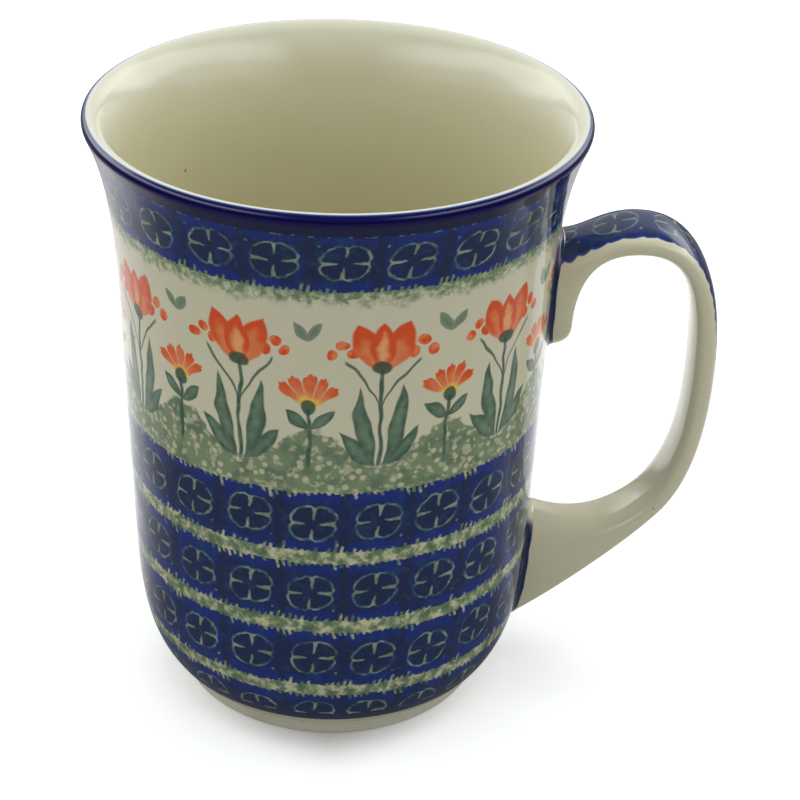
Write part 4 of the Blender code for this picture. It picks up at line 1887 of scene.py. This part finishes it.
@dataclass
class Studio:
    """Floor, lights, white surroundings and the camera."""

    axis: float
    floor_size: float = 12.0
    floor_grey: float = 0.62
    floor_white: float = 0.95
    sky_low: float = 0.60
    sky_top: float = 1.00
    front_dim: float = 0.45
    side_light: float = 0.30
    floor_glow: float = 0.36
    floor_gloss: float = 1.38
    floor_dim: float = 0.878
    floor_cool: Point = (0.040, 0.017)
    floor_near: Point = (0.15, 0.30)
    floor_far_dim: float = 0.85
    # Reach of the painted shadow round the foot, where the camera's glow is held back.
    painted_shadow_reach: Point = (0.028, 0.048)
    painted_shadow_narrowing: float = 0.4
    gloss_room: Point = (0.12, 1.45)
    gloss_back: float = 0.50
    gloss_panels: float = 1.8
    panel_foot: float = 0.32
    panel_back_drop: float = 0.22
    box_place: tuple[float, float, float] = (0.04, 0.08, 1.10)
    box_size: float = 1.0
    box_power: float = 6.4
    camera_place: tuple[float, float, float] = (-0.00170, -0.41777, 0.30203)
    yaw: float = math.radians(2.13)
    pitch: float = math.radians(29.77)
    roll: float = math.radians(1.86)
    focal_share: float = 2.867
    sensor: float = 36.0

    def seen_by(self, bench: Bench, rays: Sequence[Ray]) -> Wire:
        """Tell some kinds of rays from the rest.

        Args:
            bench: Nodes of the material or of the world.
            rays: Kinds to pick out.

        Returns:
            1 for rays of those kinds, 0 for the rest.
        """
        path = bench.node("ShaderNodeLightPath")
        seen = Wire(bench, path.outputs[rays[0].value])
        for ray in rays[1:]:
            seen = seen.most(Wire(bench, path.outputs[ray.value]))
        return seen

    def floor_sheet(self) -> bpy.types.Material:
        """Lay the flat floor on the stage, with a new material on it.

        Returns:
            The floor's material.
        """
        half = self.floor_size / 2
        mesh = bpy.data.meshes.new("floor")
        corners = [(-half, -half, 0.0), (half, -half, 0.0), (half, half, 0.0), (-half, half, 0.0)]
        mesh.from_pydata(corners, [], [(0, 1, 2, 3)])
        finish = bpy.data.materials.new("floor")
        finish.use_nodes = True
        mesh.materials.append(finish)
        sheet = bpy.data.objects.new("floor", mesh)
        bpy.context.scene.collection.objects.link(sheet)
        return finish

    def floor(self) -> None:
        """A wide floor, white to look at, that keeps the mug's shadow, with a painted shadow deepened round
        the foot, and is dim before it in the gloss.
        """
        tree = self.floor_sheet().node_tree
        bench = Bench(tree)
        x, y, _ = bench.chain("ShaderNodeTexCoord", {}, "Object").split()
        away = bench.length(x - self.axis, y)
        front = (y * -1.0 / away).fade(-1.0, 0.25)
        clear = self.seen_by(bench, [Ray.CAMERA, Ray.TRANSMISSION])
        glossy = self.seen_by(bench, [Ray.GLOSSY])
        near = 1.0 - away.fade(*self.floor_near) * self.floor_far_dim
        tone = glossy * near * (1.0 - front * self.floor_dim) * (self.floor_gloss * 0.5)
        shade = clear * self.floor_white + tone + (1.0 - clear.most(glossy)) * self.floor_grey
        # Painted shadow: the camera's glow is held back round the foot, most in front, so the floor is darker
        # there.
        outer = (away + abs(x - self.axis) * self.painted_shadow_narrowing).fade(*self.painted_shadow_reach)
        glow = clear * outer * self.floor_glow + tone
        red, green = (shade - clear * share for share in self.floor_cool)
        bench.feed(tree.nodes["Principled BSDF"], {
            "Base Color": bench.vector(red, green, shade), "Roughness": 0.9, "Specular IOR Level": 0.0,
            "Emission Color": (1.0, 1.0, 1.0, 1.0), "Emission Strength": glow})

    def surroundings(self) -> None:
        """A white room, lit most from above, with a soft panel on each side and a dim front in the gloss."""
        world = bpy.data.worlds.new("studio")
        bpy.context.scene.world = world
        world.use_nodes = True
        bench = Bench(world.node_tree)
        x, y, z = bench.chain("ShaderNodeTexCoord", {}, "Generated").split()
        sky = z.fade(0.15, 1.0) * (self.sky_top - self.sky_low) + self.sky_low
        light = sky * (1.0 - y.fade(0.1, -0.8) * self.front_dim)
        light = light + abs(x).fade(0.35, 0.95) * z.fade(0.70, 0.15) * self.side_light
        foot = self.panel_foot - y.fade(-0.2, 0.5) * self.panel_back_drop
        sides = (abs(x) / bench.length(x, y)).fade(0.25, 0.85) * z.fade(0.72, 0.52)
        panels = (z - foot).fade(0.0, 0.12) * self.gloss_panels
        room = z.fade(0.02, 0.28) * self.gloss_room[1]
        gloss = sides * (panels + room) + self.gloss_room[0] + y.fade(0.3, 0.8) * self.gloss_back
        glossy = self.seen_by(bench, [Ray.GLOSSY])
        clear = self.seen_by(bench, [Ray.CAMERA, Ray.TRANSMISSION])
        strength = clear + glossy * gloss + (1.0 - clear.most(glossy)) * light
        bench.feed(world.node_tree.nodes["Background"], {"Color": (1.0, 1.0, 1.0, 1.0), "Strength": strength})

    def soft_box(self) -> None:
        """A large soft light above the mug, which neither the camera nor the gloss sees."""
        lamp = bpy.data.lights.new("soft_box", "AREA")
        lamp.shape = "SQUARE"
        lamp.size = self.box_size
        lamp.energy = self.box_power
        light = bpy.data.objects.new("soft_box", lamp)
        light.location = self.box_place
        aim = Vector((self.axis, 0.0, 0.0)) - light.location
        light.rotation_euler = aim.to_track_quat("-Z", "Y").to_euler()
        light.visible_camera = light.visible_glossy = False
        bpy.context.scene.collection.objects.link(light)

    def camera(self) -> None:
        """The camera at the photograph's viewing angle."""
        lens_data = bpy.data.cameras.new("camera")
        lens_data.sensor_width = self.sensor
        lens_data.lens = self.sensor * self.focal_share
        camera = bpy.data.objects.new("camera", lens_data)
        bpy.context.scene.collection.objects.link(camera)
        forward = Vector((math.sin(self.yaw) * math.cos(self.pitch),
                          math.cos(self.yaw) * math.cos(self.pitch), -math.sin(self.pitch)))
        level = Vector((math.cos(self.yaw), -math.sin(self.yaw), 0.0))
        upright = level.cross(forward)
        right = level * math.cos(self.roll) + upright * math.sin(self.roll)
        up = upright * math.cos(self.roll) - level * math.sin(self.roll)
        turn = Matrix((right, up, -forward)).transposed().to_4x4()
        place = Vector(self.camera_place) + Vector((self.axis, 0.0, 0.0))
        camera.matrix_world = Matrix.Translation(place) @ turn
        bpy.context.scene.camera = camera

    def set_up(self) -> None:
        """Build the whole studio."""
        bpy.context.scene.view_settings.view_transform = "Standard"
        self.floor()
        self.surroundings()
        self.soft_box()
        self.camera()


def finish_hidden_clay(nodes: Sequence[str]) -> None:
    """Give the solids that stay under the glaze a clay finish.

    Args:
        nodes: Names of the solids.
    """
    clay = BareClay("handle_stoneware").make()
    for name in nodes:
        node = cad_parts[name]
        node.data.materials.clear()
        node.data.materials.append(clay)


def report(piece: bpy.types.Object) -> None:
    """Log a piece's name and the triangles in it."""
    piece.data.calc_loop_triangles()
    log.info("%s: %d triangles", piece.name, len(piece.data.loop_triangles))


def main() -> None:
    """Build the mug's pieces in order, then the studio."""
    logging.basicConfig(level=logging.INFO, format="%(name)s: %(message)s")
    low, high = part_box("cup_glaze")
    axis = (low.x + high.x) / 2
    outline = CupOutline()
    turned_form = TurnedForm()
    cup = Cup(outline, turned_form, axis)
    handle = Handle(outline, turned_form, axis)
    fillet = FilletForm()
    pieces = [
        cup.clay(),
        cup.coat(),
        cup.base(),
        handle.coat(),
        handle.seam(Root.UPPER, fillet, "upper_seam", "upper_slip_joint"),
        handle.seam(Root.LOWER, fillet, "lower_seam", "lower_slip_joint"),
    ]
    finish_hidden_clay(["handle"])
    for piece in pieces:
        report(piece)
    Studio(axis).set_up()


if __name__ == "__main__":
    main()
